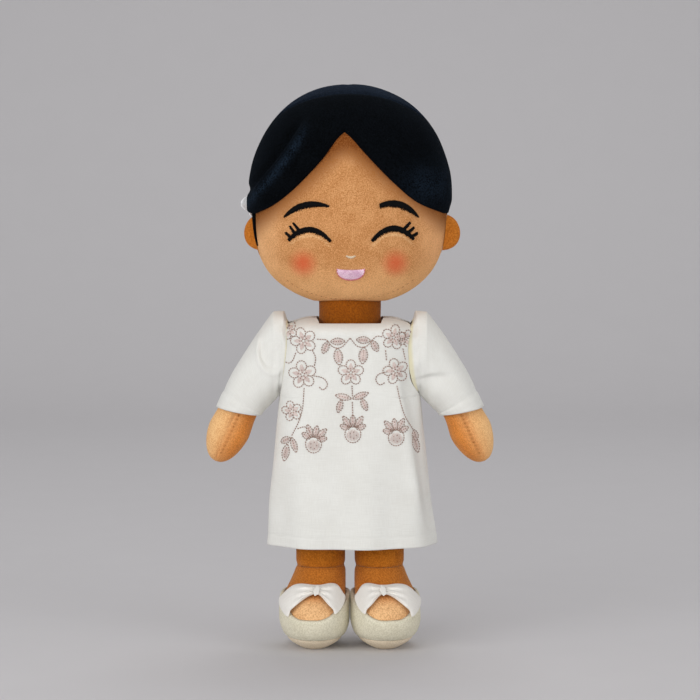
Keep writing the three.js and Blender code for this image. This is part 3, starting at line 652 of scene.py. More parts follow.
mouthRows = []
for i in range(1, mouth["rows"]):
    low = mouthEdge(i / mouth["rows"])
    high = Vector((low.x, mouth["top"] - mouth["sag"] * sin(pi * i / mouth["rows"])))
    row = []
    for s, share in ((0, 0.6), (0.12, 1), (0.35, 1), (0.65, 1), (0.88, 1), (1, 0.6)):
        spot = high.lerp(low, s)
        row.append((facePoint(spot.x, spot.y, 0.45 * sin(pi * s) ** 0.35 - 0.1), share))
    mouthRows.append(row)
faceThread("mouth_thread", mouthRows, mouthThread, ["mouth_patch"], mouth["thread"])


def runningStitch(path, surface, stitch, gap, lift):
    # path is a list of flat points; each stitch dives into the cloth at both ends
    strokes = []
    total = sum((b - a).length for a, b in zip(path, path[1:]))
    count = max(1, round(total / stitch))

    def at(distance):
        for a, b in zip(path, path[1:]):
            step = (b - a).length
            if distance <= step or b is path[-1]:
                return a.lerp(b, clamp(distance / step) if step else 0)
            distance -= step

    for i in range(count):
        start, end = (i + gap / 2) * total / count, (i + 1 - gap / 2) * total / count
        stroke = []
        for s, share, height in ((0, 0.6, 0.0), (0.25, 1, 0.9), (0.75, 1, 0.9), (1, 0.6, 0.0)):
            spot = at(lerp(start, end, s))
            stroke.append((surface(spot.x, spot.y, height * lift), share))
        strokes.append(stroke)
    return strokes


strokes = runningStitch([mouthEdge(i / 24) for i in range(25)], facePoint, 1.5, 0.0, 0.5)
faceThread("mouth_edge_thread", strokes, mouthEdgeThread, thickness=mouth["edge"])

# topstitching just above the chin's edge
chin = dict(count=27, reach=33.0, rise=1.3, stitch=1.0, tuck=0.16, off=0.05, thread=0.42)


def chinPoint(x):
    level = 1 - (2 * x / head["width"]) ** 2 - chin["tuck"]
    return facePoint(x, chin["rise"] - head["lower"] * level ** (1 / head["jawSquare"]), chin["off"])


strokes = []
for i in range(chin["count"]):
    middle = lerp(-chin["reach"], chin["reach"], i / (chin["count"] - 1))
    ends = (middle - chin["stitch"] / 2, middle, middle + chin["stitch"] / 2)
    strokes.append([(chinPoint(x), share) for x, share in zip(ends, (0.7, 1, 0.7))])
faceThread("chin_topstitch", strokes, skinThread, thickness=chin["thread"])
print("face stitched")


# hair: padded pieces over the head, with rolled edges at the hairline and drawn-in seams
hair = dict(
    gap=0.3, wall=2.4, crownSeam=-20.5, crownTurn=0.128, sideSeam=8.0, partShift=-2.6, side=-7.3, nape=-35.0,
    hairline=dict(
        right=[(-2.8, 35.7), (-6.8, 32.0), (-13.6, 22.6), (-22.3, 13.0), (-30.9, 4.6), (-40.0, -2.4),
               (-49.4, -7.3)],
        left=[(-2.8, 35.7), (1.4, 32.0), (7.2, 25.4), (15.2, 16.9), (24.0, 8.2), (35.0, -0.8),
              (49.4, -7.3)]),
    temple=0.8, frontRoll=3.4, sideRoll=1.6, sideTaper=1.7, taperDepth=11.0, seamRoll=0.25, partRoll=0.03,
    seamDip=0.6, seamWidth=1.5, lump=0.5, lumpSize=17.0, backSeam=-1.6, backSeamDip=0.55, backSeamWidth=0.8,
)
# one soft fold on the doll's right, lapping over towards the hairline
pleat = dict(top=(-22.0, 42.5), bend=(-35.2, 21.6), end=(-52.2, 2.4), rise=3.0, starts=(-2.0, 14.0),
             laps=(-0.6, 2.2), fades=(2.6, 16.0), dip=1.2, dipAt=-1.3, dipWidth=1.5, flat=0.8,
             flattens=(42.0, 51.0))
# painted highlight where the pile would catch the light, along the fold and low on the doll's left
shine = dict(fold=0.3, foldAt=1.2, foldWidth=2.1, foldFrom=(8.0, 22.0), low=0.22, lowAt=(42.0, 8.0),
             lowHalf=(14.0, 9.0))


def crownPoint(side, t):  # along the crown seam, from the parting back and down to one side
    angle = t * (pi / 2 + hair["crownTurn"])
    x = side * sin(angle) * (head["width"] / 2) + hair["partShift"] * (1 - t)
    direction = Vector((x, 0, cos(angle) * head["upper"]))
    for attempt in range(12):
        at = headPoint(direction)
        seam = min(hair["crownSeam"] + head["middle"] + head["upper"] - at.z, hair["sideSeam"])
        direction.y += 0.7 * (seam - at.y)
    return headPoint(direction) - headMiddle


def hairlinePoint(side, t):  # over the forehead to the temple, then level above the ear
    temple = hair["temple"]
    x, z = spline(hair["hairline"]["left" if side > 0 else "right"], t / temple)
    start = facePoint(x, z) - headMiddle
    if t <= temple:
        return start
    return headPoint(start.lerp(crownPoint(side, 1), (t - temple) / (1 - temple))) - headMiddle


def pleatPlace(place):  # how far along the fold a point lies, and how far below its line
    top, end = Vector(pleat["top"]), Vector(pleat["end"])
    line = (end - top).normalized()
    across = Vector((-line.y, line.x))
    away = Vector((place.x, place.z - head["middle"])) - top
    along, over = away.dot(line), away.dot(across)
    share = clamp(along / (end - top).length)
    return along, over - 4 * share * (1 - share) * (Vector(pleat["bend"]) - top).dot(across)


def pleatRise(place):
    along, over = pleatPlace(place)
    stays = 1 - pleat["flat"] * smooth(-place.x, *pleat["flattens"])
    lap = pleat["rise"] * stays * smooth(over, *pleat["laps"]) * (1 - smooth(over, *pleat["fades"]))
    dip = pleat["dip"] * near(over, pleat["dipAt"], pleat["dipWidth"])
    return smooth(along, *pleat["starts"]) * (lap - dip)


# painted highlight along the fold and in a patch low on the doll's left
def hairHighlight(place):
    along, over = pleatPlace(place)
    fold = smooth(along, *pleat["starts"]) * near(over, shine["foldAt"], shine["foldWidth"])
    fold *= smooth(-place.x, *shine["foldFrom"])
    (x, z), (wide, tall) = shine["lowAt"], shine["lowHalf"]
    low = near(hypot((place.x - x) / wide, (place.z - head["middle"] - z) / tall), 0, 1)
    return shine["fold"] * fold + shine["low"] * low


def hairRise(place, fromSeam):  # thickness of the padding, drawn in towards a seam
    uneven = hair["lump"] * lumps(place, hair["lumpSize"], 8)
    return hair["wall"] + uneven - hair["seamDip"] * near(fromSeam, 0, hair["seamWidth"])


def hairPad(across, along, direction, thickness):
    def under(u, v):
        return headPoint(direction(u, v), hair["gap"])

    def over(u, v):
        return headPoint(direction(u, v), hair["gap"] + thickness(u, v))

    return sewn(padMesh(across, along, under, over))


def frontHair(side):
    def direction(u, v):
        return hairlinePoint(side, u).lerp(crownPoint(side, u), v)

    def thickness(u, v):
        low, high = hairlinePoint(side, u), crownPoint(side, u)
        depth = (high - low).length
        aside = smooth(side * u, 0.5, 0.85)
        edge = min(rolled(v * depth, lerp(hair["frontRoll"], hair["sideRoll"], aside)),
                   rolled((1 - v) * depth + 0.001, hair["seamRoll"]),
                   rolled(u * 75 + 0.002, hair["partRoll"]))
        place = headPoint(low.lerp(high, v))
        rise = hairRise(place, (1 - v) * depth)
        rise -= hair["sideTaper"] * aside * (1 - smooth(v * depth, 0, hair["taperDepth"]))
        if side < 0:
            rise += pleatRise(place)
        return edge * rise

    return hairPad(90, 80, direction, thickness)


def backHair():
    back = head["depth"] / 2
    slope = (hair["nape"] - hair["side"]) / (back - hair["sideSeam"])

    def ends(u):
        side = 1 if u > 0.5 else -1
        crown = crownPoint(side, abs(2 * u - 1))
        angle = pi * u  # round the back from the doll's right to its left
        x = -cos(angle) * (head["width"] / 2)
        y = lerp(hair["sideSeam"], back, sin(angle) ** 0.8)
        nape = headPoint(Vector((x, y, hair["side"] + (y - hair["sideSeam"]) * slope))) - headMiddle
        return crown, crown.lerp(nape, smooth(sin(angle), 0, 0.12))

    def direction(u, v):
        crown, nape = ends(u)
        if (crown - nape).length < 0.01:
            return crown
        return crown.normalized().slerp(nape.normalized(), v)

    def thickness(u, v):
        crown, nape = ends(u)
        depth = 55 * crown.normalized().angle(nape.normalized(), 0.0)
        place = headPoint(direction(u, v))
        edge = min(rolled(v * depth + 0.001, hair["seamRoll"]), rolled((1 - v) * depth, hair["frontRoll"]))
        rise = hairRise(place, v * depth)
        return edge * (rise - hair["backSeamDip"] * near(place.x, hair["backSeam"], hair["backSeamWidth"]))

    return hairPad(200, 110, direction, thickness)


hairMeshes = (("front_left", frontHair(1), hairPlush), ("front_right", frontHair(-1), hairPlush),
              ("back", backHair(), hairCapLitPlush))
for name, bm, cover in hairMeshes:
    addPiece(f"hair_{name}_plush", bm, cover, "head", [f"hair_{name}"], napAndHighlight=hairHighlight)

# a thin dark strip of the hair plush in front of the right ear
sideEdge = dict(top=-5.5, end=-25.5, x=-50.6, y=-8.2, off=0.3, thick=2.8, points=12)
stroke = []
for i in range(sideEdge["points"]):
    t = i / (sideEdge["points"] - 1)
    low = Vector((sideEdge["x"], sideEdge["y"], lerp(sideEdge["top"], sideEdge["end"], t)))
    stroke.append((headPoint(low, sideEdge["off"]), lerp(1.0, 0.35, t**1.5)))
faceThread("hair_side_right_plush", [stroke], hairPlush, thickness=sideEdge["thick"])

bun = dict(wide=20.0, deep=13.5, tall=17.5, y=48.45, drop=14.0, wraps=3, twist=7.5, wrapDip=1.5, gap=0.5)
bunMiddle = Vector((0, bun["y"], head["middle"] - bun["drop"]))


def bunShape(p):  # hair wound round into a knot
    turn = atan2(p.z, p.x)
    spiral = 0.5 + 0.5 * cos(bun["wraps"] * turn + bun["twist"] * hypot(p.x, p.z))
    dip = bun["wrapDip"] * spiral**5 * smooth(p.y, -0.6, 0.2)
    grown = Vector((p.x * bun["wide"], p.y * bun["deep"], p.z * bun["tall"]))
    return pressedOn(bunMiddle + grown * (1 - dip / 17), hair["gap"] + hair["wall"] + bun["gap"])


addPiece("hair_bun_plush", sewn(ballMesh(96, 64, bunShape)), hairCapLitPlush, "head", ["hair_bun"])

# flower: its first petal points forward and bends out past the hair
flower = dict(angle=112, drop=3.0, off=2.8, length=9.4, others=8.2, root=1.6, wide=9.5, petals=5, thick=1.2,
              cup=0.04, crease=0.9, creaseWidth=1.1, curl=0.95, curlFrom=4.6, lift=0.35,
              bead=3.5, beadFlat=0.6, beadLift=1.9, beadDents=9, beadDent=0.06)
around = radians(flower["angle"])
reachX, reachY = head["width"] / 2 + flower["off"], head["depth"] / 2 + flower["off"]
flowerSpot = Vector((-reachX * sin(around), -reachY * cos(around), head["middle"] - flower["drop"]))
flowerOut = Vector((flowerSpot.x / reachX**2, flowerSpot.y / reachY**2, 0)).normalized()
flowerForward = Vector((-flowerOut.y, flowerOut.x, 0))
flowerUp = flowerOut.cross(flowerForward)


def petalPlace(turn, along, across, lift):
    flatX = cos(turn) * along - sin(turn) * across
    flatY = sin(turn) * along + cos(turn) * across
    away = hypot(flatX, flatY)
    rise = flower["lift"] + lift + flower["cup"] * away**2 / flower["length"]
    rise -= flower["crease"] * near(across, 0, flower["creaseWidth"]) * smooth(along, 2, 8)
    return flowerSpot + flowerForward * flatX + flowerUp * flatY + flowerOut * rise


petals = bmesh.new()
for i in range(flower["petals"]):
    turn = 2 * pi * i / flower["petals"]

    def petalAt(u, v, lift):
        along = flower["root"] + u * (flower["others" if i else "length"] - flower["root"])
        half = flower["wide"] / 2 * sin(pi * clamp(0.12 + 0.88 * u)) ** 0.95
        bend = max(0, along - flower["curlFrom"])
        curl = 0.05 * i if i else flower["curl"] * bend**2 / (bend + 1)
        edge = rolled(min(u, 1 - u, v, 1 - v) * 8, 1.0)
        return petalPlace(turn, along, (2 * v - 1) * half, curl + lift * edge)

    one = sewn(padMesh(22, 14, lambda u, v: petalAt(u, v, 0.0), lambda u, v: petalAt(u, v, flower["thick"])))
    loose = bpy.data.meshes.new("petal")
    one.to_mesh(loose)
    one.free()
    petals.from_mesh(loose)
    bpy.data.meshes.remove(loose)
addPiece("flower_petals_felt", petals, petalFelt, "head", ["flower_petals"])


def beadShape(p):  # a wound cotton ball
    dents = 0.5 + 0.5 * cos(flower["beadDents"] * atan2(p.y, p.x))
    size = flower["bead"] * (1 - flower["beadDent"] * dents * (1 - abs(p.z)))
    rise = flower["beadLift"] + flower["beadFlat"] * flower["bead"] + flower["beadFlat"] * p.z * size
    return flowerSpot + flowerForward * p.x * size + flowerUp * p.y * size + flowerOut * rise


addPiece("flower_bead_cotton", sewn(ballMesh(36, 20, beadShape)), beadCotton, "head",
         ["flower_bead"])
print("hair and flower made")


# neck and torso
torso = dict(top=174.0, width=71.0, depth=43.0, flat=33.3, hip=98.0, legRadius=13.3, legGap=0.6, seat=103.6,
             belly=111.6, neckRadius=16.5, neckBall=174.5, neckTop=190.5, neckGap=0.8, wall=1.3)


def neckShape(u, v):  # a round end in the torso, then straight up
    angle = 2 * pi * u
    radius, ball, share = torso["neckRadius"], torso["neckBall"], 0.35
    if v < share:
        tilt = lerp(-pi / 2, 0, v / share)
        ring, z = radius * cos(tilt), ball + radius * sin(tilt)
    else:
        z = lerp(ball, torso["neckTop"], (v - share) / (1 - share))
        ring = radius + 0.25 * lumps((cos(angle) * 9, sin(angle) * 9, z), 8, 2)
    return Vector((ring * sin(angle), -ring * cos(angle), z))


bm = sewn(sheetMesh(64, 40, neckShape), (0, 0, 182))
addSkin("neck", bm, neckShadowPlush, "neck", "neck_skin", torso["wall"])


def neckFillShape(p):
    ring = (torso["neckRadius"] - 2.0) * (1 + 0.02 * lumps(p * 20, 6, 1))
    z = torso["neckBall"] + (p.z * ring if p.z < 0 else p.z**0.5 * 15.6)
    away = hypot(p.x, p.y)
    grow = min(1, 1.6 * away) / away if away > 0.01 and p.z > 0 else 1
    return Vector((p.x * ring * grow, p.y * ring * grow, z))


addFilling("neck", ballMesh(40, 24, neckFillShape), "neck", "neck_stuffing")


def underTorso(y):  # the seat rests clear of the swinging legs
    if y < 0:
        return torso["belly"]
    clear = torso["legRadius"] + torso["legGap"]
    return max(torso["seat"], torso["hip"] + sqrt(max(0, clear**2 - y**2)))


def torsoShape(p, inset=0.0):
    t = (p.z + 1) / 2
    out = 2 * clamp(t, 0.12, 0.9) - 1
    half = torso["width"] / 2 * (1 - 0.12 * out**2) - inset
    deep = torso["depth"] / 2 * (1 - 0.2 * out**4) - inset
    away = hypot(p.x, p.y)
    full = away**0.35 / away if away > 0.001 else 0
    x = clamp(p.x * full * half, -torso["flat"] + inset, torso["flat"] - inset)
    y = p.y * full * deep
    z = lerp(torso["hip"] - 4, torso["top"] - inset, t) + (0.4 - inset * 0.2) * lumps((x, y, t * 70), 16, 6)
    z = max(z, underTorso(y) + inset)
    socket = torso["neckRadius"] + torso["neckGap"]
    if z > torso["top"] - 8 and hypot(x, y) < socket:  # round the ball end of the neck
        z = min(z, torso["neckBall"] - sqrt(max(0, socket**2 - x * x - y * y)))
    return Vector((x, y, z))


addSkin("torso", sewn(ballMesh(96, 72, torsoShape)), limbPlush, "torso", "torso_skin")
addFilling("torso", ballMesh(56, 40, lambda p: torsoShape(p, fillInset)), "torso", "torso_stuffing")


# legs and feet
foot = dict(high=42.6, length=50.0, width=33.4, forward=9.0, edge=0.5, legWidth=26.6, legSpacing=31.6,
            spacing=38.0, hip=98.0, sole=6.5, soleGap=0.3, ankleGap=0.02, seamDip=0.7, wall=1.3)


def footSize(z):
    t = z / foot["high"]
    drawn, sloped = smooth(t, 0.56, 1.02), smooth(t, 0.38, 1.02)
    edge = 1 - foot["edge"] * max(0, 1 - t / 0.38) ** 2
    return (lerp(foot["spacing"], foot["legSpacing"], drawn) / 2, -lerp(foot["forward"], 0, sloped),
            lerp(foot["width"], foot["legWidth"], drawn) / 2 * edge,
            lerp(foot["length"], foot["legWidth"], sloped) / 2 * edge)


def onFoot(side, angle, z, off):  # a point off the foot, at an angle round from the toes
    x, y, half, long = footSize(z)
    return Vector((side * x + (half + off) * sin(angle), y - (long + off) * cos(angle), z))


def legShape(side, inset, u, v):  # straight up from the ankle seam, with a round end at the hip
    angle = 2 * pi * u
    radius = foot["legWidth"] / 2 - inset
    low, high = foot["high"] + foot["ankleGap"] + inset * 0.2, foot["hip"]
    if v < 0.7:
        z = lerp(low, high, v / 0.7)
        ring = radius - foot["seamDip"] * near(z, low, 1.6)
        ring += 0.35 * lumps((cos(angle) * 13, sin(angle) * 13, z), 14, 20 + side)
    else:
        tilt = (v - 0.7) / 0.3 * pi / 2
        z, ring = high + radius * sin(tilt), radius * cos(tilt)
    return Vector((side * foot["legSpacing"] / 2 + ring * sin(angle), -ring * cos(angle), z))


def footShape(side, inset, u, v):
    angle = 2 * pi * u
    low, high = foot["sole"] + foot["soleGap"] + inset, foot["high"] - foot["ankleGap"]
    flat = 0.12
    if v < flat:  # closed flat underneath
        middle = onFoot(side, 0, low, -foot["length"] / 2 - inset)
        return onFoot(side, angle, low, -inset) * (v / flat) + middle * (1 - v / flat)
    z = lerp(low, high, (v - flat) / (1 - flat))
    dip = foot["seamDip"] * near(z, high, 1.5) + inset
    slack = 0.3 * lumps((sin(angle) * 16, cos(angle) * 16, z), 13, 30 + side)
    return onFoot(side, angle, z, slack - dip)


for side, name in sides:
    body = f"leg_{name}"
    bm = sewn(sheetMesh(64, 70, lambda u, v: legShape(side, 0, u, v)), (side * foot["legSpacing"] / 2, 0, 70))
    addSkin(f"leg_{name}", bm, legShadowPlush, body, f"leg_skin_{name}", foot["wall"])
    bm = sewn(sheetMesh(80, 60, lambda u, v: footShape(side, 0, u, v)), (side * 17, -6, 24))
    addSkin(f"foot_{name}", bm, footPlush, body, f"foot_skin_{name}", foot["wall"])

    def fillShape(u, v):  # one lump of fibre from the foot up to the hip
        if v < 0.45:
            return footShape(side, fillInset, u, v / 0.45)
        return legShape(side, fillInset, u, (v - 0.45) / 0.55)

    addFilling(f"leg_{name}", sheetMesh(40, 60, fillShape), body, f"leg_stuffing_{name}")


# shoes: a soft cup with a low front, on a padded sole
shoe = dict(gap=0.35, wall=1.9, front=18.0, back=30.0, risesOut=(0.4, 1.85), risesIn=(0.1, 1.75),
            weltGap=0.15, weltDip=0.6, weltWidth=1.3, puckers=46, upperPucker=0.28, solePucker=0.15,
            slack=0.35, rim=1.6, round=3.4)


def shoeTop(side, angle):  # height of the top line, from the toes round to the heel
    rises = shoe["risesOut"] if side * angle > 0 else shoe["risesIn"]
    return lerp(shoe["front"], shoe["back"], smooth(abs(angle), *rises))


def shoeUpper(side):
    def shape(u, v):
        angle = 2 * pi * u - pi
        low, high = foot["sole"] + shoe["weltGap"], shoeTop(side, angle)
        outer = v < 0.5
        t = 2 * v if outer else 2 - 2 * v
        z = lerp(low, high, t)
        if not outer:
            return onFoot(side, angle, z, shoe["gap"])
        thick = shoe["wall"] * rolled((1 - t) * (high - low) + 0.001, shoe["rim"])
        thick -= shoe["weltDip"] * near(z, low, shoe["weltWidth"])
        pucker = shoe["upperPucker"] * cos(shoe["puckers"] * angle) * near(z, low, 2.2)
        slack = shoe["slack"] * lumps((sin(angle) * 17, cos(angle) * 25, z), 11, 40 + side)
        return onFoot(side, angle, z, shoe["gap"] + max(thick + (slack + pucker) * rolled(1 - t, 0.3), 0.02))

    return sewn(sheetMesh(120, 60, shape))


def shoeSole(side):
    def middle(z):
        return Vector((side * foot["spacing"] / 2, -foot["forward"], z))

    def shape(u, v):
        angle = 2 * pi * u
        high = foot["sole"] - shoe["weltGap"]
        if v < 0.3:  # flat under the foot
            rim = onFoot(side, angle, 0, shoe["wall"] - shoe["round"])
            return rim.lerp(middle(0), 1 - v / 0.3)
        if v > 0.8:  # hidden top, under the foot
            rim = onFoot(side, angle, high, shoe["wall"] - shoe["weltDip"])
            return rim.lerp(middle(high), (v - 0.8) / 0.2)
        z = lerp(0, high, ((v - 0.3) / 0.5) ** 1.3)
        dip = shoe["weltDip"] * near(z, high, shoe["weltWidth"])
        dip -= shoe["solePucker"] * cos(shoe["puckers"] * angle) * near(z, high, 2)
        return onFoot(side, angle, z, shoe["wall"] - dip - shoe["round"] * (1 - z / high) ** 2)

    return sewn(sheetMesh(120, 40, shape))


bow = dict(high=32.6, drop=9.4, dropIn=7.6, reachOut=66, reachIn=50, slant=0.2, waist=4.4, width=10.6,
           endWidth=8.6, off=2.5, thick=1.1, puff=1.3, gathers=3, gatherRise=1.5, knotWide=1.9, knotTall=2.3,
           knotThick=1.2, knotOff=0.9, knotFolds=5, flat=(0.052, 0.011))


def bowAt(side, share, across, lift):
    reach = abs(share)
    end = smooth(reach, 0.6, 1)
    width = lerp(bow["waist"], lerp(bow["width"], bow["endWidth"], end), smooth(reach, 0.02, 0.62))
    turn = side * share * radians(bow["reachOut"] if share > 0 else bow["reachIn"])
    turn *= 1 + bow["slant"] * across * reach - 0.12 * across**2 * end
    z = bow["high"] - bow["drop" if share > 0 else "dropIn"] * reach**1.8 + across * width / 2
    gather = bow["gatherRise"] * cos(pi * bow["gathers"] * across) * near(reach, 0.18, 0.2)
    puff = bow["puff"] * near(reach, 0.5, 0.3) * (1 - 0.5 * across**2)
    return onFoot(side, turn, z, bow["off"] + lift + max(gather, -0.4) + puff)


def bowRibbonMesh(side):
    def lifted(lift):
        def at(u, v):
            edge = rolled(min(v, 1 - v) * 9, 1.0)
            return bowAt(side, 2 * u - 1, 2 * v - 1, lift * edge)

        return at

    return sewn(padMesh(90, 30, lifted(0), lifted(bow["thick"]), bow["flat"]))


def bowKnot(side):
    def shape(p):
        fold = 1 - 0.1 * cos(bow["knotFolds"] * atan2(p.z, p.x)) * (1 - abs(p.y))
        angle = p.x * bow["knotWide"] / 24 * fold
        out = bow["off"] + bow["thick"] + bow["knotOff"] + (1 - p.y) * 0.5 * bow["knotThick"]
        return onFoot(side, angle, bow["high"] + p.z * bow["knotTall"] * fold, out)

    return sewn(ballMesh(32, 20, shape))


for side, name in sides:
    body = f"leg_{name}"
    for part, bm, cover in (("upper", shoeUpper(side), shoePlush), ("sole", shoeSole(side), solePlush)):
        addPiece(f"shoe_{part}_{name}_plush", bm, cover, body, [f"shoe_{part}_{name}"])
    addPiece(f"bow_{name}_ribbon", bowRibbonMesh(side), bowRibbon, body, [f"shoe_bow_{name}"])
    addPiece(f"bow_{name}_knot", bowKnot(side), bowRibbon, body, [f"bow_knot_{name}"])
print("body, legs and shoes made")


# arms: tapered pads that leave the shoulder sideways and end in round hands
arm = dict(path=[(33.6, 156.0), (50.76, 156.0), (58.17, 127.4), (72.6, 98.8)], half=10.3, deep=9.5, end=9.0,
           palm=0.78, handSwell=0.1, seamDip=1.3, seamWidth=0.11, seamTurn=-0.05, lump=0.35, wall=1.3,
           fillStart=(33.8, 156.0), fillEnd=0.97)
handSeam = dict(low=(67.0, 108.0), high=(60.0, 123.0), width=0.8, fades=(99.0, 106.0), stitch=3.1)


def armShape(side, inset, u, v):
    angle = 2 * pi * u
    t = v**0.85
    at, along = bezier(arm["path"], t), heading(arm["path"], t)
    rounding = sqrt(max(0, 1 - ((t - arm["palm"]) / (1 - arm["palm"])) ** 2)) if t > arm["palm"] else 1
    swell = 1 + arm["handSwell"] * smooth(t, 0.68, 0.82)
    fill = lerp(arm["end"] / arm["half"], swell, smooth(t, 0, 0.35)) * rounding
    fromSeam = remainder(angle - pi / 2 - arm["seamTurn"], 2 * pi)
    seam = near(fromSeam, 0, arm["seamWidth"]) * smooth(t, 0.3, 0.4)
    dip = seam * (arm["seamDip"] + 0.2 * cos(t * 150)) + inset
    dip -= arm["lump"] * lumps((at.x, sin(angle) * 9, at.y + cos(angle) * 9), 12, 50 + side)
    wide, deep = (max(arm[size] * fill - dip * rounding, 0) for size in ("half", "deep"))
    x = at.x - along.y * wide * cos(angle)
    z = at.y + along.x * wide * cos(angle)
    if v == 0 and inset == 0:
        x = max(x, arm["path"][0][0])
    return Vector((side * x, -deep * sin(angle), z))


def armSeam(place):  # the pile parts along the seam down the front of the hand
    (lowX, lowZ), (highX, highZ) = handSeam["low"], handSeam["high"]
    middle = lerp(lowX, highX, (place.z - lowZ) / (highZ - lowZ))
    front = 1 if place.y < 0 else 0
    line = near(abs(place.x) - middle, 0, handSeam["width"]) * smooth(place.z, *handSeam["fades"]) * front
    return line * (0.55 + 0.45 * sin(place.z * handSeam["stitch"]))


for side, name in sides:
    bm = sewn(sheetMesh(96, 120, lambda u, v: armShape(side, 0, u, v)), (side * 55, 0, 130))
    addSkin(f"arm_{name}", bm, limbPlush, f"arm_{name}", f"arm_skin_{name}", arm["wall"], armSeam)

    def armFill(u, v):
        if v < 0.08:  # closed end at the shoulder
            x, z = arm["fillStart"]
            return armShape(side, fillInset, u, 0).lerp(Vector((side * x, 0, z)), 1 - v / 0.08)
        return armShape(side, fillInset, u, (v - 0.08) / 0.92 * arm["fillEnd"])

    addFilling(f"arm_{name}", sheetMesh(40, 50, armFill), f"arm_{name}", f"arm_stuffing_{name}")
print("arms made")


# dress: one front and two back panels that hang from the shoulders, with their flat sizes in metres
dress = dict(hem=55.0, hemWidth=90.0, hemDepth=62.0, chestWidth=74.0, chestDepth=51.0, chestHigh=140.0,
             yokeHalf=34.4, yokeFrom=146.0, hemSquare=2.3, chestSquareRight=4.2, chestSquareLeft=3.0, folds=9,
             foldDepth=1.1, roundFrom=168.0, top=175.5, neckFront=15.6, neckBack=18.4, neckDrop=1.2,
             shoulderRise=0.9, shoulderFall=2.4, hemTurn=6.0, backGap=0.15, wall=0.7,
             flatFront=(0.122, 0.142), flatBack=(0.062, 0.142))
armhole = dict(middle=155.3, tall=20.3, deep=18.2, square=2.6)
creases = dict(slack=0.9, pull=0.5, pullFrom=(70, 120), pullTo=(150, 168), hemLine=0.2, hemWidth=0.6,
               flick=1.8, flickAt=1.25, flickWidth=0.3, flickTop=72, fold=1.5, foldWidth=0.09,
               foldFrom=(62, 90), foldTo=(140, 158), dip=1.3, dipAt=0.24, dipWidth=0.14, legRoom=1.1)


def dressRow(v):  # height of a row, and how far forward it reaches as a share of the chest's depth
    bend = 0.86
    if v < bend:
        return lerp(dress["hem"], dress["roundFrom"], v / bend), 1.0
    shoulder = [(1.0, dress["roundFrom"]), (0.97, dress["top"]), (0.0, dress["top"])]
    reach, z = bezier(shoulder, (v - bend) / (1 - bend))
    return z, max(reach, 0.0005)


def dressSection(z, side):
    t = clamp((z - dress["hem"]) / (dress["chestHigh"] - dress["hem"]))
    wide = lerp(dress["hemWidth"], dress["chestWidth"], t) / 2
    wide = lerp(wide, dress["yokeHalf"], smooth(z, dress["yokeFrom"], dress["top"]))
    deep = lerp(dress["hemDepth"], dress["chestDepth"], t) / 2
    chest = dress["chestSquareLeft"] if side > 0 else dress["chestSquareRight"]
    return wide, deep, lerp(dress["hemSquare"], chest, t), dress["foldDepth"] * (1 - t)


def armholeY(z):
    away = abs(z - armhole["middle"]) / armhole["tall"]
    return armhole["deep"] * (1 - away ** armhole["square"]) ** (1 / armhole["square"]) if away < 1 else 0.0


def armholeAngle(z, reach, side):  # how far round from the front a row goes before the armhole or side seam
    wide, deep, square, fold = dressSection(z, side)
    share = clamp(armholeY(z) / (deep * reach), 0, 0.995)
    return atan2((1 - share**square) ** (1 / square), share)


def dressPoint(angle, v):  # angle from the front, towards the doll's left
    z, reach = dressRow(v)
    side = 1 if sin(angle) > 0 else -1
    wide, deep, square, fold = dressSection(z, side)
    x, y = sin(angle), -cos(angle)
    boxy = (abs(x) ** square + abs(y) ** square) ** (-1 / square)
    ripple = fold * cos(dress["folds"] * atan2(y, x)) + dressCreases(angle, z) * reach
    x, y = x * boxy * (wide + ripple), y * boxy * (deep + ripple) * reach
    return Vector((x, y, z + shoulderSlope(x) * smooth(z, 162, dress["top"])))


def shoulderSlope(x):  # the shoulders fall from the neck to the armhole
    return dress["shoulderRise"] - (dress["shoulderRise"] + dress["shoulderFall"]) * smooth(abs(x), 21, 36)


def dressCreases(angle, z):  # the soft unevenness of worn cotton, and one fold down the doll's left side
    low = 1 - smooth(z, 60, 150)
    slack = creases["slack"] * lumps((angle * 26, z * 0.55, 0), 19, 61) * (0.35 + 0.65 * low)
    pull = creases["pull"] * lumps((angle * 18 + z * 0.35, z * 0.2, 3), 7, 62)
    pull *= smooth(z, *creases["pullFrom"])
    pull *= 1 - smooth(z, *creases["pullTo"])
    seam = -creases["hemLine"] * near(z, dress["hem"] + dress["hemTurn"], creases["hemWidth"])
    flick = creases["flick"] * near(angle, creases["flickAt"], creases["flickWidth"])
    flick *= 1 - smooth(z, dress["hem"], creases["flickTop"])
    away = angle - lerp(0.62, 0.9, (150 - z) / 80)  # it runs outwards on its way down
    fold = creases["fold"] * near(away, 0, creases["foldWidth"])
    fold -= creases["dip"] * near(away, creases["dipAt"], creases["dipWidth"])
    fold *= smooth(z, *creases["foldFrom"])
    fold *= 1 - smooth(z, *creases["foldTo"])
    room = creases["legRoom"] * low * smooth(-cos(angle), 0.3, 0.9)  # for the legs as they swing back
    return slack + pull + seam + flick + fold + room


def necklineCut(bm, forward):  # a square neck that widens towards the shoulders
    edge = dress["top"] - dress["neckDrop"]
    front, back = dress["neckFront"], dress["neckBack"]
    deep = dress["chestDepth"] / 2
    for side in (1, -1):
        slope = Vector((deep, -side * forward * (front - back), 0)) * side
        cutAlong(bm, (side * back, 0, 0), slope)
    cutAlong(bm, (0, 0, edge), (0, 0, 1))
    gone = []
    for one in bm.faces:
        at = one.calc_center_median()
        if at.z > edge and abs(at.x) < lerp(back, front, abs(at.y) / deep):
            gone.append(one)
    bmesh.ops.delete(bm, geom=gone, context="FACES")


def frontShape(u, v):
    z, reach = dressRow(v)
    low, high = -armholeAngle(z, reach, -1), armholeAngle(z, reach, 1)
    return dressPoint(lerp(low, high, u), v)


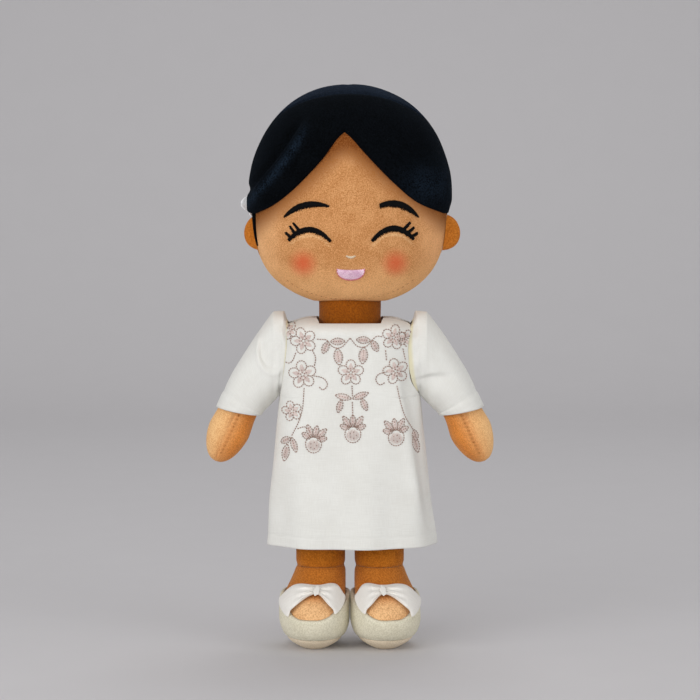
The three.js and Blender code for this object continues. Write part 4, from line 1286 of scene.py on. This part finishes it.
def backShape(side):
    def shape(u, v):
        z, reach = dressRow(v)
        edge = pi - armholeAngle(z, reach, side)
        place = dressPoint(side * lerp(edge, pi - 0.004, u), v)
        place.y = abs(place.y) + dress["backGap"]
        return place

    return shape


def dressPanel(name, across, shape, flat, forward):
    bm = sheetMesh(across, 170, shape, flat)
    necklineCut(bm, forward)
    sewn(bm, (0, 0, 110))
    area = clothArea(bm)
    piece = addPiece(f"dress_{name}_cotton", bm, dressCotton, "torso", [f"dress_{name}"],
                     wall=dress["wall"])
    print(f"dress {name} made, {area * 1e4:.1f} square centimetres")
    return piece


dressFront = dressPanel("front", 150, frontShape, dress["flatFront"], -1)
for side, name in sides:
    dressPanel(f"back_{name}", 80, backShape(side), dress["flatBack"], 1)


# sleeves: gathered into the armhole under a standing cap, with a plain cuff
sleeve = dict(upper=[(34.0, 174.6), (34.9, 178.6), (36.2, 179.4), (40.4, 179.3), (42.0, 178.2), (47.4, 171.0),
                     (52.9, 163.2), (63.3, 146.3), (71.8, 128.4)],
              lower=[(36.8, 135.4), (40.8, 130.4), (48.2, 123.6)], armDeep=18.2, cuffDeep=13.25, tuck=1.0,
              gathers=11, gatherDepth=0.6, slack=0.7, wall=0.7, blendFrom=33.0, blend=11.0,
              flat=(0.118, 0.062),
              hollow=dict(middle=(41.0, 160.5), half=(7.6, 12.0), depth=1.6, ridge=0.45),
              crease=dict(line=[(36.5, 144.5), (46.0, 148.6), (58.0, 146.0)], depth=1.5, width=11.0))


def armholePoint(side, angle):  # angle round the armhole from its top, towards the front
    up, forward = cos(angle), sin(angle)
    boxy = (abs(up) ** armhole["square"] + abs(forward) ** armhole["square"]) ** (-1 / armhole["square"])
    z, y = armhole["middle"] + armhole["tall"] * up * boxy * 0.95, armhole["deep"] * forward * boxy * 0.97
    wide, deep, square, fold = dressSection(z, side)
    x = wide * (1 - clamp(abs(y) / deep, 0, 0.995) ** square) ** (1 / square)
    return Vector((x - sleeve["tuck"], -y, z))


def sleeveFold(side, seen):  # a soft hollow on the doll's right sleeve, a slanting crease on the left
    if side < 0:
        hollow = sleeve["hollow"]
        away = Vector([(c - m) / h for c, m, h in zip(seen, hollow["middle"], hollow["half"])])
        below = smooth(away.dot(Vector((0.6, -0.8))), -0.4, 0.5)
        sunk = 1 - smooth(away.length, lerp(0.3, 0.82, below), 1.04)
        return hollow["ridge"] * below * near(away.length, 1.14, 0.12) - hollow["depth"] * sunk
    crease = sleeve["crease"]
    start, end = Vector(crease["line"][0]), Vector(crease["line"][-1])
    t = clamp((seen.x - start.x) / (end.x - start.x))
    below = bezier(crease["line"], t).y - seen.y
    sunk = -crease["depth"] * smooth(below, -1.2, 1.2) * (1 - smooth(below, 1.2, crease["width"]))
    return sunk * (1 - smooth(t, 0.4, 1))


def sleeveShape(side):
    def shape(u, t):
        angle = 2 * pi * u + pi  # seam under the arm
        high, low = spline(sleeve["upper"], t), bezier(sleeve["lower"], t)
        middle, half = (high + low) / 2, (high - low) / 2
        deep = lerp(sleeve["armDeep"], sleeve["cuffDeep"], clamp((middle.x - 35.4) / 24.6))
        up, forward = cos(angle), sin(angle)
        gather = sleeve["gatherDepth"] * cos(sleeve["gathers"] * angle) * (1 - smooth(t, 0.0, 0.4))
        gather *= smooth(t, 0, 0.08)
        slack = sleeve["slack"] * lumps((t * 40, cos(angle) * 14, sin(angle) * 14), 11, 70 + side)
        hem = 0.3 * smooth(t, 0.93, 0.95) - 0.35 * near(t, 0.94, 0.01)
        seen = Vector((middle.x + half.x * up, middle.y + half.y * up))
        fold = sleeveFold(side, seen) * smooth(forward, 0.25, 0.6)
        swell = gather + slack * smooth(t, 0.02, 0.2) + hem + fold
        place = Vector((seen.x, -(deep + swell) * forward, seen.y))
        place += Vector((half.x, 0, half.y)).normalized() * swell * up
        place = armholePoint(side, angle).lerp(place, smooth(t, 0.0, 0.13))
        place.x *= side
        return place

    return shape


for side, name in sides:
    cloth = sewn(sheetMesh(140, 120, sleeveShape(side), sleeve["flat"]), (side * 52, 0, 150))
    area = clothArea(cloth)
    piece = addPiece(f"sleeve_{name}_cotton", cloth, sleeveCotton, None, [f"sleeve_{name}"],
                     wall=sleeve["wall"])
    baked = bakedMesh(piece)  # with its wall
    piece.modifiers.clear()
    piece.data = baked
    shoulder = next(j for j in frame["joints"] if j["name"] == f"shoulder_{name}")
    start = Vector(shoulder["pos_m"])
    start.x = side * sleeve["blendFrom"] * millimetre
    end = start + Vector((side * sleeve["blend"] * millimetre, 0, 0))
    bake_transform(piece)
    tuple(start)
print("sleeves made")


# closing tapes inside the back of the dress: name, left and right edge, depth
tape = dict(top=167.8, length=62.0, thick=0.8, edge=0.5,
            tapes=[("closure_loop_tape", -10.0, -0.3, 1.1), ("closure_hook_tape", -10.0, 10.0, 2.2)])
for name, left, right, depth in tape["tapes"]:

    def tapeAt(u, v, lift):
        z = tape["top"] - tape["length"] * (1 - v)
        wide, deep, square, fold = dressSection(z, 1)
        x = lerp(left, right, u)
        inside = depth + tape["thick"] - lift
        share = clamp(abs(x) / (wide - inside), 0, 1)
        return Vector((x, (deep - inside) * (1 - share**square) ** (1 / square), z))

    def raised(u, v):
        lift = tape["thick"] * rolled(min(u, 1 - u) * 10, tape["edge"])
        return tapeAt(u, v, lift * rolled(min(v, 1 - v) * 60, tape["edge"]))

    bm = sewn(padMesh(24, 60, lambda u, v: tapeAt(u, v, 0.0), raised))
    addPiece(name + "_nylon", bm, tapeNylon, "torso", [name])


# embroidery on the front of the dress, in millimetres as seen from the front
embroidery = dict(
    flowers=[  # middle, size and turn
        (-24.5, 165.4, 6.9, 20), (-25.0, 147.6, 7.4, 8), (-30.7, 128.1, 5.4, 15), (0.4, 148.7, 6.9, 0),
        (23.0, 167.1, 6.4, -12), (24.1, 149.3, 6.8, 14), (-32.5, 170.4, 4.6, 30), (29.6, 166.2, 4.4, -20)],
    petalFill=[  # aside, start and end, as shares of the size
        (-0.12, 0.24, 0.56), (-0.06, 0.12, 0.7), (0, 0.08, 0.76), (0.06, 0.12, 0.7), (0.12, 0.24, 0.56)],
    fruits=[(-19.3, 110.9, -14), (1.5, 116.3, 0), (24.4, 114.3, 8)], fruitSize=4.2, fruitDrop=0.6,
    fruitRows=9, rowPitch=0.74, seeds=5, seedRing=1.7, seedHalf=0.45,
    crown=[(-70, 5.4), (-34, 7.6), (0, 6.8), (34, 7.6), (70, 5.4)], crownHalf=1.55,
    leaves=[  # base, tip, half width
        ((-11.4, 165.4), (-14.4, 158.8), 1.8), ((-10.4, 165.2), (-2.6, 165.4), 1.8),
        ((3.2, 166.2), (10.8, 165.8), 1.8), ((11.6, 165.8), (14.6, 159.8), 1.8),
        ((-6.8, 161.8), (-5.6, 152.6), 2.3), ((7.4, 162.4), (6.5, 153.2), 2.3),
        ((0.8, 134.9), (-7.9, 136.8), 1.6), ((1.2, 134.9), (9.9, 138.1), 1.6),
        ((-4.4, 134.6), (-6.4, 127.4), 1.6), ((6.0, 135.2), (9.0, 128.5), 1.6),
        ((-31.3, 113.9), (-36.6, 110.8), 1.7), ((-30.8, 114.3), (-28.3, 106.2), 1.6),
        ((-33.0, 110.4), (-35.0, 101.0), 1.9), ((33.6, 117.6), (35.4, 111.4), 1.6),
        ((33.6, 114.4), (36.2, 105.0), 1.7)],
    stems=[
        [(-17.6, 166.5), (-12.4, 166.2)], [(-12.4, 166.2), (-9.0, 162.4), (-4.6, 162.2), (0.1, 167.1)],
        [(0.1, 167.1), (3.8, 162.8), (8.4, 162.6), (12.0, 166.4)],
        [(12.0, 166.4), (14.2, 168.0), (17.2, 167.6)],
        [(-28.5, 159.2), (-30.4, 154.6), (-33.2, 153.4), (-35.4, 156.0), (-33.7, 158.2)],
        [(-19.5, 147.1), (-14.2, 145.8), (-11.9, 142.3), (-14.2, 139.6), (-16.4, 141.2)],
        [(20.0, 149.2), (15.0, 147.8), (13.6, 144.7), (15.7, 142.2), (18.4, 143.4)],
        [(-20.0, 160.8), (-18.2, 156.7), (-18.8, 152.1)], [(18.7, 160.8), (19.2, 155.0)],
        [(27.8, 161.3), (29.2, 155.0)], [(-24.2, 140.7), (-25.0, 130.3), (-27.0, 122.9), (-30.8, 114.9)],
        [(24.7, 141.8), (27.0, 131.5), (29.4, 124.6), (33.4, 117.6)], [(1.0, 142.0), (1.3, 136.0)],
        [(1.2, 133.4), (1.5, 124.4)], [(-27.9, 118.9), (-23.6, 120.0), (-20.8, 117.0)]],
    thread=0.54, fill=0.46, stitch=1.3, gap=0.34, lift=0.3, fillLift=0.8, fillPitch=0.42,
)
bpy.context.view_layer.update()
clothTree = BVHTree.FromObject(dressFront, bpy.context.evaluated_depsgraph_get())
outlines, fills = [], []


def onDress(x, z, off):  # the spot that shows at x and z from the front, or None beside the cloth
    seenFrom = Vector((x * millimetre, -0.3, z * millimetre))
    hit, normal, index, distance = clothTree.ray_cast(seenFrom, Vector((0, 1, 0)))
    if hit is None:
        return None
    place = hit / millimetre + normal * off
    return Vector((place.x, place.y - bodyY / millimetre, place.z))


def sewnOn(strokes):  # drops the stitches that would miss the cloth
    return [stroke for stroke in strokes if all(place is not None for place, share in stroke)]


def stitchLine(points):
    path = [Vector(p) for p in points]
    outlines.extend(runningStitch(path, onDress, embroidery["stitch"], embroidery["gap"], embroidery["lift"]))


def fillThread(start, end):  # one long satin thread
    stroke = []
    for s, share, height in ((0, 0.5, 0), (0.15, 1, 0.7), (0.5, 1, 1), (0.85, 1, 0.7), (1, 0.5, 0)):
        spot = Vector(start).lerp(Vector(end), s)
        stroke.append((onDress(spot.x, spot.y, embroidery["lift"] * embroidery["fillLift"] * height), share))
    fills.append(stroke)


def leafStitches(base, tip, half):
    base, tip = Vector(base), Vector(tip)
    along = tip - base
    across = Vector((-along.y, along.x)).normalized()
    for side in (1, -1):
        rim = [(i / 8, half * sin(pi * i / 8) ** 0.8) for i in range(9)]
        stitchLine([base + along * t + across * belly * side for t, belly in rim])
    stitchLine([base.lerp(tip, 0.16), base.lerp(tip, 0.8)])  # the vein
    rows = max(1, int((half - 0.55) * 2 / embroidery["fillPitch"]))
    for i in range(rows):
        shift = (i + 0.5) / rows * 2 - 1
        reach = 0.36 * sqrt(max(0.05, 1 - shift**2 * 0.8))
        offset = across * shift * max(half - 0.7, 0.1)
        fillThread(base + along * (0.5 - reach) + offset, base + along * (0.5 + reach) + offset)


for x, z, size, turn in embroidery["flowers"]:
    middle = Vector((x, z))
    for i in range(5):
        spin = radians(90 + turn + 72 * i)
        out, across = Vector((cos(spin), sin(spin))), Vector((-sin(spin), cos(spin)))
        angles = [lerp(-2.65, 2.65, k / 14) for k in range(15)]
        stitchLine([middle + out * size * (0.6 + 0.4 * cos(a)) + across * size * 0.36 * sin(a)
                    for a in angles])
        stitchLine([middle + out * size * 0.06, middle + out * size * 0.4])
        for shift, low, high in embroidery["petalFill"]:
            offset = across * size * shift
            fillThread(middle + out * size * low + offset, middle + out * size * high + offset)

for leaf in embroidery["leaves"]:
    leafStitches(*leaf)
for stem in embroidery["stems"]:
    stitchLine([spline(stem, i / 16) for i in range(17)])

for x, z, lean in embroidery["fruits"]:  # a round fruit under a crown of leaves
    size, low = embroidery["fruitSize"], z - embroidery["fruitDrop"]
    turns = [2 * pi * i / 22 for i in range(23)]
    stitchLine([(x + size * sin(a), z + size * 1.08 * cos(a)) for a in turns])
    for i in range(embroidery["fruitRows"]):
        shift = (i - (embroidery["fruitRows"] - 1) / 2) * embroidery["rowPitch"]
        reach = 3.2 * sqrt(max(0.05, 1 - (shift / 3.3) ** 2))
        fillThread((x + shift, low - reach), (x + shift, low + reach))
    for i in range(embroidery["seeds"]):
        angle = 2 * pi * i / embroidery["seeds"] + 0.3
        ring = embroidery["seedRing"]
        seed = Vector((x + ring * sin(angle), low + ring * cos(angle)))
        half = Vector((0, embroidery["seedHalf"]))
        stitchLine([seed - half, seed + half])
    for turn, length in embroidery["crown"]:
        angle = radians(turn - lean)
        root = Vector((x + 1.9 * sin(angle), z + size * 0.6 + 0.9 * cos(angle)))
        tip = root + Vector((sin(angle), cos(angle))) * length
        leafStitches(root, tip, embroidery["crownHalf"])

for name, strokes, width, cover in (("outline", outlines, embroidery["thread"], roseThread),
                                    ("fill", fills, embroidery["fill"], paleRoseThread)):
    threadPiece(f"embroidery_{name}", sewnOn(strokes), width, cover, "torso")
print("embroidery made,", len(outlines), "outline stitches and", len(fills), "fill threads")


# floor, light and camera
stage = dict(floor=(206, 204, 206), reach=8.0, front=-1.05, wall=1.1, round=0.5, high=3.5)
view = dict(elevation=5.0, distance=1.6, aim=0.1585, span=0.375, sensor=36.0)
sky = dict(light=0.38, seen=0.6)  # strength that lights the doll, and that shows past the floor's edge
lights = [  # place, size and power
    ((-0.60, -1.35, 0.75), (0.9, 0.9), 5.4),
    ((0.10, -1.75, 0.34), (1.2, 0.6), 4.2),
    ((1.15, -0.95, 0.60), (0.9, 0.8), 4.9),
    ((-1.25, -1.00, 0.60), (0.9, 0.8), 6.6),
    ((0.15, 0.70, 1.50), (0.9, 0.9), 6.0),
]
target = Vector((0, bodyY, view["aim"]))


def floorShape(u, v):  # a floor that curves up into a backdrop
    quarter = stage["round"] * pi / 2
    run = lerp(stage["front"], stage["wall"] + quarter + stage["high"], v)
    turn = clamp((run - stage["wall"]) / stage["round"], 0, pi / 2)
    y = min(run, stage["wall"]) + stage["round"] * sin(turn)
    z = stage["round"] * (1 - cos(turn)) + max(0, run - stage["wall"] - quarter)
    return Vector((lerp(-stage["reach"], stage["reach"], u), y, z))


floorMesh = sewn(sheetMesh(20, 80, floorShape), (0, 0, -10))
floorData = bpy.data.meshes.new("studio_floor")
floorMesh.to_mesh(floorData)
floorMesh.free()
start, feed = newMaterial("studio paper", Roughness=0.9, Specular_IOR_Level=0.1)
speckle = start.make("ShaderNodeTexCoord", out="Object").grain(30.0)
paler = [c + 2 for c in stage["floor"]]
paper = feed(Base_Color=speckle.between(srgb(*stage["floor"]), srgb(*paler)))
newObject("studio_floor", floorData, paper)


def placeAt(name, data, place):  # puts a lamp or the camera at a place, turned to the doll
    holder = bpy.data.objects.new(name, data)
    holder.location = place
    holder.rotation_euler = (target - Vector(place)).to_track_quat("-Z", "Y").to_euler()
    scene.collection.objects.link(holder)
    return holder


for i, (place, size, power) in enumerate(lights):
    lamp = bpy.data.lights.new(f"softbox_{i}", "AREA")
    lamp.shape = "RECTANGLE"
    lamp.size, lamp.size_y = size
    lamp.energy = power
    placeAt(f"softbox_{i}", lamp, place)

world = bpy.data.worlds.new("studio")
world.use_nodes = True
background = world.node_tree.nodes["Background"]
background.inputs["Color"].default_value = (1, 1, 1, 1)
rays = Wire(world.node_tree).make("ShaderNodeLightPath", out="Is Camera Ray")
shown = rays + rays.other("Is Glossy Ray") + rays.other("Is Transmission Ray")
strength = sky["light"] + shown * (sky["seen"] - sky["light"])
world.node_tree.links.new(strength.socket, background.inputs["Strength"])
scene.world = world
scene.view_settings.view_transform = "Standard"

tilt = radians(view["elevation"])
lens = bpy.data.cameras.new("camera")
lens.sensor_width = view["sensor"]
lens.lens = view["sensor"] * view["distance"] / view["span"]
cameraAway = Vector((0, -cos(tilt), sin(tilt))) * view["distance"]
scene.camera = placeAt("camera", lens, target + cameraAway)
print("studio ready")

bpy.context.view_layer.update()
